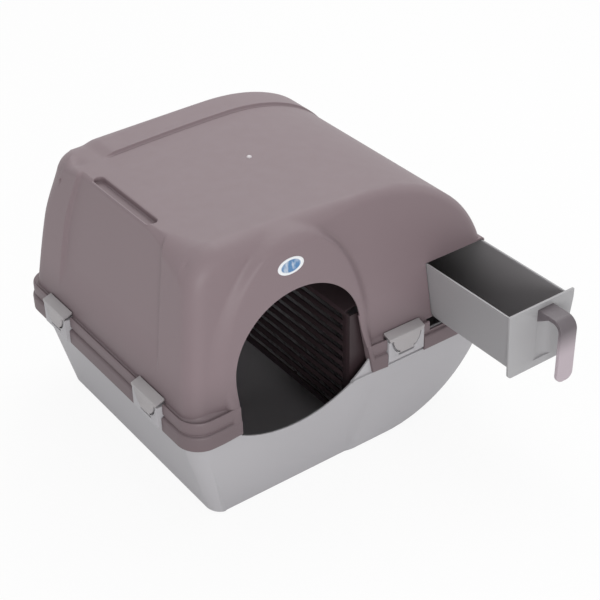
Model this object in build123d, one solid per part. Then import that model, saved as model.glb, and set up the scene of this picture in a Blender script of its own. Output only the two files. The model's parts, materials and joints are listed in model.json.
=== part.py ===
from build123d import *
import os
from math import sqrt

os.makedirs("parts", exist_ok=True)

# Rolling litter box. X runs to the rolling side, -Y to the door and the tray, Z up from the floor.
# All sizes are in millimetres. The waste tray is drawn out to its place in the picture.

# Walls and clearances
wall = 3.0
tray_wall = 2.5
rest_gap = 0.3
slide_gap = 1.2
pin_gap = 0.04
clip_gap = 1.5
roof_gap = 1.8

# Base tub
floor_left = -256.0
floor_right = 81.0
floor_front = -224.0
floor_rear = 238.0
roll_radius = 212.0
seam_z = 150.0
left_flare = 36.0
front_flare = 7.0
rear_flare = 15.0
tub_corner_floor = 28.0
tub_corner_seam = 36.0
tub_edge_round = 8.0
rim_height = 46.0
rim_inset = 8.0
rim_corner = 34.0

# Flat panel let into the tub's front under the door
panel_left = -232.0
panel_right_floor = -3.0
panel_right_seam = 27.0
panel_depth = 7.0
panel_ramp = 20.0
panel_low = -10.0

# Sill that the door leaves in the tub's front
sill_left_x = -208.0
sill_left_z = 146.0
sill_low_x = -95.0
sill_low_z = 116.0
sill_right_x = 44.0
sill_right_z = 182.0

# Lid
lid_top = 460.0
ledge_z = 207.0
lid_left = -288.0
lid_left_top = -259.0
lid_right = 292.0
lid_front = -220.0
lid_front_top = -206.0
lid_rear = 272.0
lid_rear_top = 206.0
dome_start = 30.0
dome_foot_z = 250.0
lid_corner_round = 28.0
lid_crease_round = 13.0
lid_rear_belly = 7.0

# Skirt around the lid's foot
skirt_left_out = 11.0
skirt_right_out = 9.0
skirt_front_out = 17.0
skirt_rear_out = 17.0
skirt_corner = 40.0
skirt_band = 28.0
skirt_step = 3.0
skirt_ledge = 8.0
ledge_tuck = 0.8

# Door and the hood around it
door_x = -90.0
door_z = 244.0
door_radius = 116.0
door_foot_out = 18.0
hood_x = -95.0
hood_z = 226.0
hood_half_width = 126.0
hood_rise = 221.0
hood_out = 2.5

# Slot pressed into the lid's top
slot_x = -241.0
slot_y = 3.0
slot_length = 168.0
slot_width = 14.0
slot_depth = 8.0

# Sunk panel in the lid's left wall and the groove along the top's rear edge
side_panel_front = -149.0
side_panel_rear = 149.0
side_panel_sink = 2.0
groove_y = 155.0
groove_left = -190.0
groove_right = 30.0
groove_width = 5.0
groove_depth = 1.5

# Waste tray and its port
tray_left = 163.0
tray_right = 282.0
tray_draft = 12.0
tray_floor = 193.0
tray_height = 105.0
tray_length = 440.0
tray_pull = 182.0
tray_round = 8.0
shelf_under = 18.0
plate_thickness = 4.0
plate_lip = 3.0
plate_ear = 12.0
plate_drop = 8.0
plate_room = 13.0
port_drop = 10.0
housing_round = 6.0
housing_rear = 230.0
scoop_radius = 45.0
scoop_depth = 4.0
scoop_low = 198.0
scoop_height = 68.0

# Hook handle on the tray
handle_x = 235.0
handle_width = 33.0
handle_top = 292.0
handle_reach = 52.0
handle_drop = 110.0
handle_thickness = 8.0
handle_root = 22.0
handle_bend = 20.0
handle_lean = 0.0
handle_end_round = 13.0
handle_edge_round = 2.0

# Grill
grill_x = 11.0
grill_thickness = 4.0
grill_low = 48.0
grill_solid = 262.0
grill_front_gap = 15.0
grill_end_gap = 4.5
grill_rear = 230.0
bar_pitch = 20.4
bar_height = 8.5
bar_count = 10
tie_count = 2
tie_width = 6.0
lip_over = 3.0
first_screw_x = 60.0
second_screw_x = 125.0
screw_rise = 24.0

# Clips and their pins
clip_width = 72.0
clip_out = 18.0
clip_top = 207.0
roof_fall = 8.0
roof_thickness = 4.0
roof_round = 2.5
pad_width = 58.0
pad_drop = 32.0
pad_thickness = 4.0
tab_low = 138.0
tab_chamfer = 20.0
tab_setback = 1.5
tab_reach = 22.0
pin_radius = 1.5
knuckle_radius = 3.0
hinge_half = 14.5
pin_grip = 7.0
clip_left_front_y = -117.0
clip_left_rear_y = 168.0
clip_right_x = 109.0

# Fixings
screw_radius = 1.5
screw_head_radius = 3.2
screw_head = 2.0
screw_length = 9.0
boss_radius = 5.0
handle_screw_edge = 5.0

# Badge over the door
badge_x = -103.0
badge_z = 404.0
badge_width = 46.0
badge_height = 28.0
badge_thickness = 1.2

# Worked-out heights, faces and places
far = 700.0
rim_top = seam_z + rim_height
shelf_top = seam_z - rest_gap
lid_foot = rim_top + rest_gap
tray_top = tray_floor + tray_height
port_low = tray_floor - port_drop
skirt_left = lid_left - skirt_left_out
skirt_right = lid_right + skirt_right_out
skirt_front = lid_front - skirt_front_out
skirt_rear = lid_rear + skirt_rear_out
rim_left = skirt_left + rim_inset
rim_right = skirt_right - rim_inset
rim_front = skirt_front + rim_inset
rim_rear = skirt_rear - rim_inset
hood_face = lid_front - hood_out
tray_front = hood_face - rest_gap - tray_pull
lid_rise = lid_top - ledge_z
grill_front = lid_front + wall + grill_front_gap
grill_end = lid_front + wall + grill_end_gap
guide_low = tray_floor - rest_gap - wall
guide_top_left = tray_left - slide_gap - wall
guide_low_left = guide_top_left + tray_draft
shelf_in_left = tray_left + tray_draft + shelf_under
shelf_in_right = tray_right - tray_draft - shelf_under
lip_low = tray_top + slide_gap
ramp_slope = (lip_low - grill_solid) / (guide_top_left - grill_x)
grill_screws_xz = [
    (x, grill_solid + wall + ramp_slope * (x - grill_x) + screw_rise) for x in (first_screw_x, second_screw_x)
]
handle_screws_z = (handle_top - handle_root + handle_screw_edge, handle_top - handle_screw_edge)
scoop_z = scoop_low + scoop_height / 2

# Clip heights, from the wall that each clip hangs on
pad_top = clip_top - roof_fall - roof_thickness / 2
tab_face = clip_out - tab_setback
tab_top = clip_top - roof_fall - roof_thickness - rest_gap
pin_y = clip_out - knuckle_radius
pin_z = pad_top - pad_drop + knuckle_radius
pocket_back = pin_y - knuckle_radius - clip_gap

# Clip places: local X runs along the wall, local Y points out of the lid, Z up
clip_places = {
    "left_front": Plane((lid_left, clip_left_front_y, 0), x_dir=(0, 1, 0), z_dir=(0, 0, 1)),
    "left_rear": Plane((lid_left, clip_left_rear_y, 0), x_dir=(0, 1, 0), z_dir=(0, 0, 1)),
    "right_front": Plane((clip_right_x, lid_front, 0), x_dir=(-1, 0, 0), z_dir=(0, 0, 1)),
    "right_rear": Plane((clip_right_x, lid_rear, 0), x_dir=(1, 0, 0), z_dir=(0, 0, 1)),
}


def prism_xz(shape, near_y, far_y):
    """Sketch drawn in the X-Z plane, run through from near_y to far_y."""
    return extrude(Plane.XZ.offset(-far_y) * shape, amount=far_y - near_y, dir=(0, -1, 0))


def prism_yz(shape, low_x, high_x):
    """Sketch drawn in the Y-Z plane, run through from low_x to high_x."""
    return extrude(Plane.YZ.offset(low_x) * shape, amount=high_x - low_x, dir=(1, 0, 0))


def block(low, high):
    """Box between two corners."""
    size = [b - a for a, b in zip(low, high)]
    middle = [(a + b) / 2 for a, b in zip(low, high)]
    return Pos(*middle) * Box(*size)


def ring_plan(left, right, front, rear, corner):
    """Rounded rectangle in plan between two X and two Y values."""
    return Pos((left + right) / 2, (front + rear) / 2) * RectangleRounded(right - left, rear - front, corner)


def slab(plan, low, high):
    """Plan outline raised from low to high."""
    return extrude(Plane.XY.offset(low) * plan, amount=high - low)


def save(name, shape):
    """One named node, written as its own file."""
    export_step(shape, f"parts/{name}.step")


# Base tub


def roll_profile(inset):
    """Side view of the tub: flat floor, then the round side that it rolls on."""
    radius = roll_radius - inset
    return make_face(
        [
            Line((-far, inset), (floor_right, inset)),
            CenterArc((floor_right, roll_radius), radius, -90, 90),
            Line((floor_right + radius, roll_radius), (-far, roll_radius)),
            Line((-far, roll_radius), (-far, inset)),
        ]
    )


def tub_form(inset):
    """Solid form of the tub up to the seam, drawn in by the inset on every side."""
    right = floor_right + roll_radius + far
    low = ring_plan(
        floor_left + inset, right, floor_front + inset, floor_rear - inset, tub_corner_floor - inset
    )
    high = ring_plan(
        floor_left - left_flare + inset, right, floor_front - front_flare + inset,
        floor_rear + rear_flare - inset, tub_corner_seam - inset,
    )
    form = loft([low, Plane.XY.offset(seam_z) * high]) & prism_xz(roll_profile(inset), -far, far)
    low_edges = [e for e in form.edges() if e.center().Z < inset + rest_gap]
    side_edges = [e for e in form.edges() if e.center().X > floor_right and e.center().Z < roll_radius / 2]
    return fillet(low_edges + side_edges, tub_edge_round - inset)


def front_panel(inset):
    """Room in front of the flat panel under the door."""
    low_y = floor_front + panel_depth + inset
    seam_y = floor_front - front_flare + inset
    outlines = [
        Plane.XZ.offset(-low_y + away)
        * Polygon(
            (panel_left - inset - spread, panel_low), (panel_right_floor + inset + spread, panel_low),
            (panel_right_seam + inset + spread, seam_z), (panel_left - inset - spread, seam_z),
            align=None,
        )
        for away, spread in ((-panel_depth, -panel_ramp), (4 * panel_depth, 4 * panel_ramp))
    ]
    side = Polygon(
        (seam_y - far, 0), (low_y, 0), (seam_y, seam_z), (seam_y - far, seam_z), align=None
    )
    return loft(outlines, ruled=True) & prism_yz(side, -far, far)


def tub_shape(inset):
    """Tub form with the flat panel let into its front."""
    return tub_form(inset) - front_panel(inset)


def sill_cut():
    """Arched piece of the tub's front wall that the door leaves open."""
    left, right = (sill_left_x, sill_left_z), (sill_right_x, sill_right_z)
    top = rim_top + wall
    outline = make_face(
        [
            ThreePointArc(left, (sill_low_x, sill_low_z), right),
            Line(right, (sill_right_x, top)),
            Line((sill_right_x, top), (sill_left_x, top)),
            Line((sill_left_x, top), left),
        ]
    )
    return prism_xz(outline, -far, 0)


def base_tub():
    """Lower shell with its rim, sill and the four clip tabs."""
    above = block((-far, -far, shelf_top - wall), (far, far, far))
    shelf_plan = ring_plan(
        skirt_left + wall + slide_gap, skirt_right - wall - slide_gap, skirt_front + wall + slide_gap,
        skirt_rear - wall - slide_gap, skirt_corner - wall - slide_gap,
    )
    rim_plan = ring_plan(rim_left, rim_right, rim_front, rim_rear, rim_corner)
    rim_hole = ring_plan(
        rim_left + wall, rim_right - wall, rim_front + wall, rim_rear - wall, rim_corner - wall
    )
    body = tub_shape(0) - block((-far, -far, shelf_top), (far, far, far))
    body += slab(shelf_plan, shelf_top - wall, shelf_top)
    body += slab(rim_plan, shelf_top - wall, rim_top)
    for place in clip_places.values():
        body += place * tab_solid()
    hollow = tub_shape(wall) - above
    mouth = tub_shape(wall) & slab(rim_hole, shelf_top - 2 * wall, shelf_top)
    body -= hollow + mouth
    body -= slab(rim_hole, shelf_top, rim_top + wall)
    body -= sill_cut()
    return body - block(
        (tray_left - plate_lip - slide_gap, skirt_front - wall, port_low),
        (skirt_right, rim_front + plate_room, rim_top + wall),
    )


# Clips


def half_moon(growth):
    """Front outline of the thumb pad: flat top, round bottom, cut off above the hinge."""
    half = pad_width / 2 + growth
    disc = Pos(0, pad_top) * Ellipse(half, pad_drop + growth)
    low = pin_z + knuckle_radius + clip_gap - growth
    window = Pos(0, (low + pad_top) / 2) * Rectangle(2 * half, pad_top - low)
    return disc & window


def pad_solid(growth, back, front):
    """Thumb pad between two local Y values, with the hinge column in its middle."""
    plate = prism_xz(half_moon(growth), back, front)
    return plate + block((-hinge_half - growth, back, pin_z), (hinge_half + growth, front, pad_top - growth))


def clip_solid():
    """Roof over the rim and thumb pad, in the clip's local frame."""
    roof = Polygon(
        (clip_out, clip_top - roof_fall), (roof_gap, clip_top), (roof_gap, clip_top - roof_thickness),
        (clip_out, clip_top - roof_fall - roof_thickness),
        align=None,
    )
    body = prism_yz(roof, -clip_width / 2, clip_width / 2)
    outer_edge = body.edges().filter_by(Axis.X).group_by(Axis.Y)[-1].sort_by(Axis.Z)[-1]
    body = fillet(outer_edge, roof_round)
    body += pad_solid(0, clip_out - pad_thickness, clip_out)
    hinge = Pos(0, pin_y, pin_z) * Rot(0, 90, 0)
    body += hinge * Cylinder(knuckle_radius, 2 * hinge_half)
    return body - hinge * Cylinder(pin_radius + pin_gap, clip_width)


def tab_solid():
    """Raised block on the tub's wall that carries a clip, in the clip's local frame."""
    side = Polygon(
        (-tab_reach, tab_low), (0, tab_low), (tab_face, tab_low + tab_chamfer), (tab_face, tab_top),
        (-tab_reach, tab_top),
        align=None,
    )
    body = prism_yz(side, -clip_width / 2, clip_width / 2)
    pocket = pad_solid(clip_gap, pocket_back, clip_out + wall)
    hinge_room = block(
        (-hinge_half - clip_gap, pocket_back, pin_z - knuckle_radius - clip_gap),
        (hinge_half + clip_gap, clip_out + wall, pin_z + knuckle_radius),
    )
    bore_length = 2 * (hinge_half + clip_gap + pin_grip + rest_gap)
    bore = Pos(0, pin_y, pin_z) * Rot(0, 90, 0) * Cylinder(pin_radius + pin_gap, bore_length)
    top_room = block(
        (-pad_width / 2 - clip_gap, pocket_back, pad_top - wall),
        (pad_width / 2 + clip_gap, clip_out, tab_top + wall),
    )
    return body - pocket - hinge_room - bore - top_room


def clip_pin():
    """Hinge pin of one clip, in the clip's local frame."""
    return Pos(0, pin_y, pin_z) * Rot(0, 90, 0) * Cylinder(pin_radius, 2 * (hinge_half + clip_gap + pin_grip))


# Lid


def lid_profile(inset):
    """Side view of the lid above its ledge: leaning left wall, flat top, round right side."""
    lean = (lid_left_top - lid_left) / lid_rise
    left = inset * sqrt(1 + lean**2)
    top = lid_top - inset
    right = lid_right - inset
    foot_point = (lid_left - lean * (ledge_z - lid_foot) + left, lid_foot)
    top_point = (lid_left_top - lean * inset + left, top)
    return make_face(
        [
            Line(foot_point, top_point),
            Line(top_point, (dome_start, top)),
            EllipticalCenterArc(
                (dome_start, dome_foot_z), right - dome_start, top - dome_foot_z, start_angle=0, arc_size=90
            ),
            Line((right, dome_foot_z), (right, lid_foot)),
            Line((right, lid_foot), foot_point),
        ]
    )


def lid_section(inset):
    """Front-to-back view of the lid above its ledge: the front leans back and the rear bellies out."""
    front_lean = (lid_front_top - lid_front) / lid_rise
    rear_lean = (lid_rear_top - lid_rear) / lid_rise
    front = inset * sqrt(1 + front_lean**2)
    rear = inset * sqrt(1 + rear_lean**2)
    drop = ledge_z - lid_foot
    front_foot = (lid_front - front_lean * drop + front, lid_foot)
    rear_foot = (lid_rear - rear_lean * drop - rear, lid_foot)
    front_top, rear_top = (lid_front_top + front, lid_top), (lid_rear_top - rear, lid_top)
    belly = ((rear_foot[0] + rear_top[0]) / 2 + lid_rear_belly, (lid_foot + lid_top) / 2)
    return make_face(
        [
            Line(front_foot, rear_foot),
            ThreePointArc(rear_foot, belly, rear_top),
            Line(rear_top, front_top),
            Line(front_top, front_foot),
        ]
    )


def lid_form(inset):
    """Solid form of the lid above its ledge, drawn in by the inset."""
    form = prism_xz(lid_profile(inset), -far, far) & prism_yz(lid_section(inset), -far, far)
    tall = [e for e in form.edges() if e.bounding_box().size.Z > lid_rise / 2]
    corners = [e for e in tall if e.center().X < lid_left / 2]
    form = fillet(corners, lid_corner_round - inset)
    creases = []
    for edge in form.edges():
        size, middle = edge.bounding_box().size, edge.center()
        raised = edge.bounding_box().max.Z > lid_foot + wall
        across = size.X > lid_crease_round and size.X > size.Z
        ridge = size.Y > lid_rise / 2 and middle.X < lid_left / 2
        right = size.X < rest_gap and size.Z > lid_crease_round and middle.X > lid_right / 2
        if raised and (across or ridge or right):
            creases.append(edge)
    return fillet(creases, lid_crease_round - inset)


def skirt_form(inset):
    """Stepped band round the lid's foot, up to the ledge."""
    step_z = seam_z + skirt_band - inset
    left, right = skirt_left + inset, skirt_right - inset
    front, rear, corner = skirt_front + inset, skirt_rear - inset, skirt_corner - inset
    band = slab(ring_plan(left, right, front, rear, corner), seam_z - inset, step_z)
    upper = ring_plan(
        left + skirt_step, right - skirt_step, front + skirt_step, rear - skirt_step, corner - skirt_step
    )
    if inset:
        return band + slab(upper, step_z, lid_foot)
    shoulder = ledge_z - skirt_ledge
    top = ring_plan(
        lid_left + ledge_tuck, lid_right - ledge_tuck, lid_front + ledge_tuck, lid_rear - ledge_tuck,
        lid_corner_round,
    )
    ledge = loft([Plane.XY.offset(shoulder) * upper, Plane.XY.offset(ledge_z) * top])
    return band + slab(upper, step_z, shoulder) + ledge


def hood_form(inset):
    """Upright arch that frames the door."""
    half = hood_half_width - inset
    foot = ledge_z - skirt_ledge
    arch = Pos(hood_x, hood_z) * Ellipse(half, hood_rise - inset)
    arch &= Pos(hood_x, hood_z + hood_rise) * Rectangle(2 * half, 2 * hood_rise)
    legs = Pos(hood_x, (hood_z + foot) / 2) * Rectangle(2 * half, hood_z - foot)
    return prism_xz(arch + legs, hood_face + inset, lid_front / 2)


def housing_form(inset):
    """Corner of the lid that is squared out over the waste tray."""
    right = tray_right + slide_gap + wall - inset
    top = lip_low + wall - inset
    left, low = tray_left, lid_foot + wall
    outline = Pos((left + right) / 2, (low + top) / 2) * Rectangle(right - left, top - low)
    corner = outline.vertices().sort_by_distance((right, top))[0]
    outline = fillet(corner, housing_round - inset)
    lean = (lid_front_top - lid_front) / lid_rise
    return prism_xz(outline, lid_front + lean * (top - ledge_z) + inset, housing_rear - inset)


def tray_outline(growth, low, high):
    """Front view of the tray's box between two heights, wider at the top, grown sideways."""
    low_in = tray_draft * (tray_top - low) / tray_height - growth
    high_in = tray_draft * (tray_top - high) / tray_height - growth
    return Polygon(
        (tray_left + low_in, low), (tray_right - low_in, low), (tray_right - high_in, high),
        (tray_left + high_in, high),
        align=None,
    )


def door_cut():
    """Arched door through the front of the lid, down through the skirt."""
    left, right = door_x - door_radius, door_x + door_radius
    low = seam_z - wall
    outline = make_face(
        [
            Line((left, low), (left, door_z)),
            CenterArc((door_x, door_z), door_radius, 180, -180),
            Line((right, door_z), (right + door_foot_out, low)),
            Line((right + door_foot_out, low), (left, low)),
        ]
    )
    return prism_xz(outline, -far, 0)


def port_cut():
    """Port for the tray through the lid's front wall, with room for its front plate."""
    port = prism_xz(tray_outline(slide_gap, port_low, lip_low), -far, lid_front_top + 2 * wall)
    plate_room = block(
        (tray_left - plate_lip - slide_gap, -far, port_low), (skirt_right + wall, hood_face, ledge_z)
    )
    return port + plate_room


def top_slot(body):
    """Slot pressed into the lid's top near its left edge, with its well below."""
    turn = Rot(0, 0, 90)
    well_plan = turn * SlotOverall(slot_length + 2 * wall, slot_width + 2 * wall)
    well = Pos(slot_x, slot_y, 0) * slab(well_plan, lid_top - slot_depth - wall, lid_top - wall / 2)
    slot_plan = turn * SlotOverall(slot_length, slot_width)
    slot = Pos(slot_x, slot_y, 0) * slab(slot_plan, lid_top - slot_depth, far)
    return body + (well & lid_form(0)) - slot


def surface_details(body):
    """Sunk panel in the left wall and groove along the rear of the top."""
    lean = (lid_left_top - lid_left) / lid_rise
    foot, top = ledge_z + side_panel_sink, lid_top - 2 * lid_crease_round
    panel = Polygon(
        (lid_left + lean * (foot - ledge_z) + side_panel_sink, foot),
        (lid_left + lean * (top - ledge_z) + side_panel_sink, top),
        (lid_left - wall, top), (lid_left - wall, foot),
        align=None,
    )
    body -= prism_xz(panel, side_panel_front, side_panel_rear)
    return body - block(
        (groove_left, groove_y - groove_width / 2, lid_top - groove_depth),
        (groove_right, groove_y + groove_width / 2, lid_top + wall),
    )


def right_guide():
    """Ledge on the lid's right wall that carries the tray's outer bottom edge."""
    web_out = rim_right - wall - slide_gap
    web_in = web_out - wall
    low, high = lid_foot + wall, lid_foot + rim_height / 2
    wall_in = lid_right - wall / 2
    outline = Polygon(
        (shelf_in_right, guide_low), (web_out, guide_low), (web_out, low), (wall_in, low),
        (wall_in, high), (web_in, high), (web_in, guide_low + wall), (shelf_in_right, guide_low + wall),
        align=None,
    )
    return prism_xz(outline, lid_front + lid_corner_round, lid_rear - 2 * lid_corner_round)


def grill_boss(x, z, near, end, hollow):
    """Boss on the lid's inner wall for one grill screw, and its blind hole."""
    low, high = min(near, end), max(near, end)
    stub = prism_xz(Pos(x, z) * Circle(boss_radius), low, high) & lid_form(wall / 2)
    deep = near + (screw_length if end > near else -screw_length)
    hole = prism_xz(Pos(x, z) * Circle(screw_radius + pin_gap), min(near, deep), max(near, deep))
    return hole if hollow else stub


def lid_shell():
    """Upper shell with its skirt, door, tray port and pressed details."""
    body = lid_form(0) + skirt_form(0) + hood_form(0) + housing_form(0)
    body -= lid_form(wall) + hood_form(wall) + housing_form(wall)
    body -= skirt_form(wall)
    body -= door_cut()
    body -= port_cut()
    for place in clip_places.values():
        body -= place * block(
            (-clip_width / 2 - clip_gap, rest_gap, seam_z - wall),
            (clip_width / 2 + clip_gap, far, ledge_z + wall),
        )
    body = top_slot(body)
    body = surface_details(body)
    for x, z in grill_screws_xz:
        for near, end in ((grill_front - rest_gap, lid_front), (grill_rear + rest_gap, lid_rear)):
            body += grill_boss(x, z, near, end, False)
            body -= grill_boss(x, z, near, end, True)
    return body + right_guide()


# Grill


def grill_screen():
    """Slotted wall, the ramp over to the tray, the left tray guide and the screw ears."""
    right = grill_x + grill_thickness
    body = block((grill_x, grill_end, grill_low), (right, grill_rear, grill_solid))
    for index in range(bar_count):
        low = grill_low + bar_height + wall + index * bar_pitch
        body -= block(
            (grill_x - wall, grill_front + tie_width, low),
            (right + wall, grill_rear - tie_width, low + bar_pitch - bar_height),
        )
    for index in range(tie_count):
        middle = grill_front + (grill_rear - grill_front) * (index + 1) / (tie_count + 1)
        body += block(
            (right, middle - tie_width / 2, grill_low),
            (right + tie_width / 2, middle + tie_width / 2, grill_solid),
        )
    lip_end = tray_left + tray_wall + lip_over
    ramp = Polygon(
        (grill_x, grill_solid), (right, grill_solid), (guide_top_left, lip_low), (guide_low_left, guide_low),
        (shelf_in_left, guide_low), (shelf_in_left, guide_low + wall),
        (guide_low_left + wall, guide_low + wall),
        (guide_top_left + wall, lip_low), (lip_end, lip_low), (lip_end, lip_low + wall),
        (guide_top_left, lip_low + wall), (grill_x, grill_solid + wall),
        align=None,
    )
    body += prism_xz(ramp, grill_front, grill_rear)
    for x, z in grill_screws_xz:
        ear = Pos(x, z - screw_rise / 2) * Rectangle(2 * boss_radius + wall, screw_rise)
        ear += Pos(x, z) * Circle(boss_radius + wall / 2)
        body += prism_xz(ear, grill_front, grill_front + wall) + prism_xz(ear, grill_rear - wall, grill_rear)
        hole = Pos(x, z) * Circle(screw_radius + pin_gap)
        body -= prism_xz(hole, grill_front - wall, grill_rear + wall)
    return body


def screw():
    """Pan-head screw along +Y: the head's inner face is at the origin."""
    seated = (Align.CENTER, Align.CENTER, Align.MIN)
    shaft = Rot(-90, 0, 0) * Cylinder(screw_radius, screw_length, align=seated)
    head = Rot(90, 0, 0) * Cylinder(screw_head_radius, screw_head, align=seated)
    return shaft + fillet(head.edges().sort_by(Axis.Y)[0], screw_head / 3)


def grill_screws():
    """Screws through the grill's ears into the lid's bosses, front and back."""
    turn = Rot(0, 0, 180)
    rear = [Pos(x, grill_rear - wall, z) * screw() for x, z in grill_screws_xz]
    front = [Pos(x, grill_front + wall, z) * (turn * screw()) for x, z in grill_screws_xz]
    return Compound(children=rear + front)


# Tray


def tray_box():
    """Pull-out waste tray with its front plate."""
    back = tray_front + tray_length
    outer = tray_outline(0, tray_floor, tray_top)
    outer = fillet(outer.vertices().group_by(Axis.Y)[0], tray_round)
    inner = tray_outline(-tray_wall, tray_floor + tray_wall, tray_top + wall)
    inner = fillet(inner.vertices().group_by(Axis.Y)[0], tray_round - tray_wall)
    body = prism_xz(outer, tray_front, back) - prism_xz(inner, tray_front + tray_wall, back - tray_wall)
    plate = Polygon(
        (tray_left + plate_lip, tray_floor - plate_drop), (tray_right - plate_lip, tray_floor - plate_drop),
        (tray_right + plate_ear, tray_top - plate_ear), (tray_right + plate_ear, tray_top + plate_lip),
        (tray_left - plate_lip, tray_top + plate_lip),
        align=None,
    )
    plate = fillet(plate.vertices().group_by(Axis.Y)[0], tray_round)
    body += prism_xz(plate, tray_front - plate_thickness, tray_front)
    scoop_y = tray_front - plate_thickness - scoop_radius + scoop_depth
    body -= Pos(handle_x, scoop_y, scoop_z) * Cylinder(scoop_radius, scoop_height)
    for z in handle_screws_z:
        hole = Pos(handle_x, z) * Circle(screw_radius + pin_gap)
        body -= prism_xz(hole, tray_front - 2 * plate_thickness, tray_front + 2 * tray_wall)
    return body


def tray_handle():
    """Hook handle: an arm forward from the plate, bent down to a rounded grip."""
    root_y = tray_front - plate_thickness
    out_y = root_y - handle_reach
    inner_y = out_y + handle_thickness
    low = handle_top - handle_drop
    arm_low = handle_top - handle_thickness
    outline = Polygon(
        (root_y, handle_top - handle_root), (root_y, handle_top), (out_y, handle_top),
        (out_y + handle_lean, low), (inner_y + handle_lean, low), (inner_y, arm_low),
        (root_y - handle_root, arm_low),
        align=None,
    )
    rounds = (
        ((out_y, handle_top), handle_bend),
        ((inner_y, arm_low), handle_bend - handle_thickness),
    )
    for corner, radius in rounds:
        vertex = outline.vertices().sort_by_distance((*corner, 0))[0]
        outline = fillet(vertex, radius)
    body = prism_yz(outline, handle_x - handle_width / 2, handle_x + handle_width / 2)
    grip = RectangleRounded(handle_width, 2 * handle_drop, handle_end_round)
    body &= prism_xz(Pos(handle_x, low + handle_drop) * grip, out_y - wall, root_y + wall)
    sides = [e for e in body.faces().filter_by(Axis.X).edges() if e.center().Y < root_y - rest_gap]
    body = fillet([e for e in sides if e.bounding_box().min.Z > low + rest_gap], handle_edge_round)
    for z in handle_screws_z:
        hole = Pos(handle_x, z) * Circle(screw_radius + pin_gap)
        body -= prism_xz(hole, tray_front + tray_wall - screw_length, root_y + wall)
    return body


def handle_screws():
    """Screws from inside the tray into the handle's root."""
    turn = Rot(0, 0, 180)
    places = [Pos(handle_x, tray_front + tray_wall, z) for z in handle_screws_z]
    return Compound(children=[place * (turn * screw()) for place in places])


def oval_badge():
    """Bare oval badge on the hood over the door."""
    oval = Pos(badge_x, badge_z) * Ellipse(badge_width / 2, badge_height / 2)
    return prism_xz(oval, hood_face - badge_thickness, hood_face)


def main():
    save("base_tub", base_tub())
    save("lid_shell", lid_shell())
    save("grill_screen", grill_screen())
    save("grill_screws", grill_screws())
    save("oval_badge", oval_badge())
    save("tray_box", tray_box())
    save("tray_handle", tray_handle())
    save("handle_screws", handle_screws())
    for name, place in clip_places.items():
        save(f"clip_{name}", place * clip_solid())
        save(f"clip_pin_{name}", place * clip_pin())


main()
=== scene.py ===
"""Dressed model of a rolling litter box.

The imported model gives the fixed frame. The lid, its skirt and the label are built here as finer meshes, the
other mouldings are taken from the frame and get softened edges, and every piece gets a procedural finish.
Sizes are in millimetres until a mesh is made, which is in metres.
"""

from __future__ import annotations

import json
import logging
import math
from dataclasses import dataclass
from enum import Enum

import bmesh
import bpy
import numpy as np
from mathutils import Matrix, Vector

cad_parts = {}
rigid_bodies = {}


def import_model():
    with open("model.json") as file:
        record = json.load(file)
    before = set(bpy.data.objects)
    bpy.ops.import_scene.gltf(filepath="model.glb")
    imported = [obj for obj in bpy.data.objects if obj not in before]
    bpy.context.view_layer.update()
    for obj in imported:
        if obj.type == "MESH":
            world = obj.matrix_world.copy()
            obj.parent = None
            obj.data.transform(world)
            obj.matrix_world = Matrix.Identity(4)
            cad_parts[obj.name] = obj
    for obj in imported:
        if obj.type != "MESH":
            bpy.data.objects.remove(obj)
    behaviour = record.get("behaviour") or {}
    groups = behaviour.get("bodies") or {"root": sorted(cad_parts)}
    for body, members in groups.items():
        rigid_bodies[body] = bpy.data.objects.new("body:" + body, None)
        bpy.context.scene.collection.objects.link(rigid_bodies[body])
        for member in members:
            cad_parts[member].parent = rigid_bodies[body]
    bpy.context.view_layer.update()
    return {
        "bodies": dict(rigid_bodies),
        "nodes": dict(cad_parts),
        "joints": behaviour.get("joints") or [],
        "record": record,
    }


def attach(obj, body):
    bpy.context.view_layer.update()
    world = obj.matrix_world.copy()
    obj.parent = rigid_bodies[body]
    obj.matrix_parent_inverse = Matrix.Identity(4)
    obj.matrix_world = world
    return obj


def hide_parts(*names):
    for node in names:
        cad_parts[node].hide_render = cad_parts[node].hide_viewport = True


LOG = logging.getLogger("litter_box")
MM = 0.001
MERGE_DISTANCE = 0.02 * MM
FLAT_ANGLE = 0.6
# X and Y where each clip meets its wall, and the direction away from the box
CLIP_SPOTS = {
    "left_front": (-288.0, -117.0, -1.0, 0.0),
    "left_rear": (-288.0, 168.0, -1.0, 0.0),
    "right_front": (109.0, -220.0, 0.0, -1.0),
    "right_rear": (109.0, 272.0, 0.0, 1.0),
}


class Body(Enum):
    """Moving bodies that a piece can ride on."""

    BASE = "base"
    LID = "lid"
    TRAY = "tray"
    CLIP_LEFT_FRONT = "clip_left_front"
    CLIP_LEFT_REAR = "clip_left_rear"
    CLIP_RIGHT_FRONT = "clip_right_front"
    CLIP_RIGHT_REAR = "clip_right_rear"


class Slot(Enum):
    """Material slots of the record."""

    LID = "lid_plastic"
    BASE = "base_plastic"
    TRAY = "tray_plastic"
    CLIP = "clip_plastic"
    HANDLE = "handle_plastic"
    GRILL_PAINTED_SHADE = "grill_plastic"
    BADGE = "badge"


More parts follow.
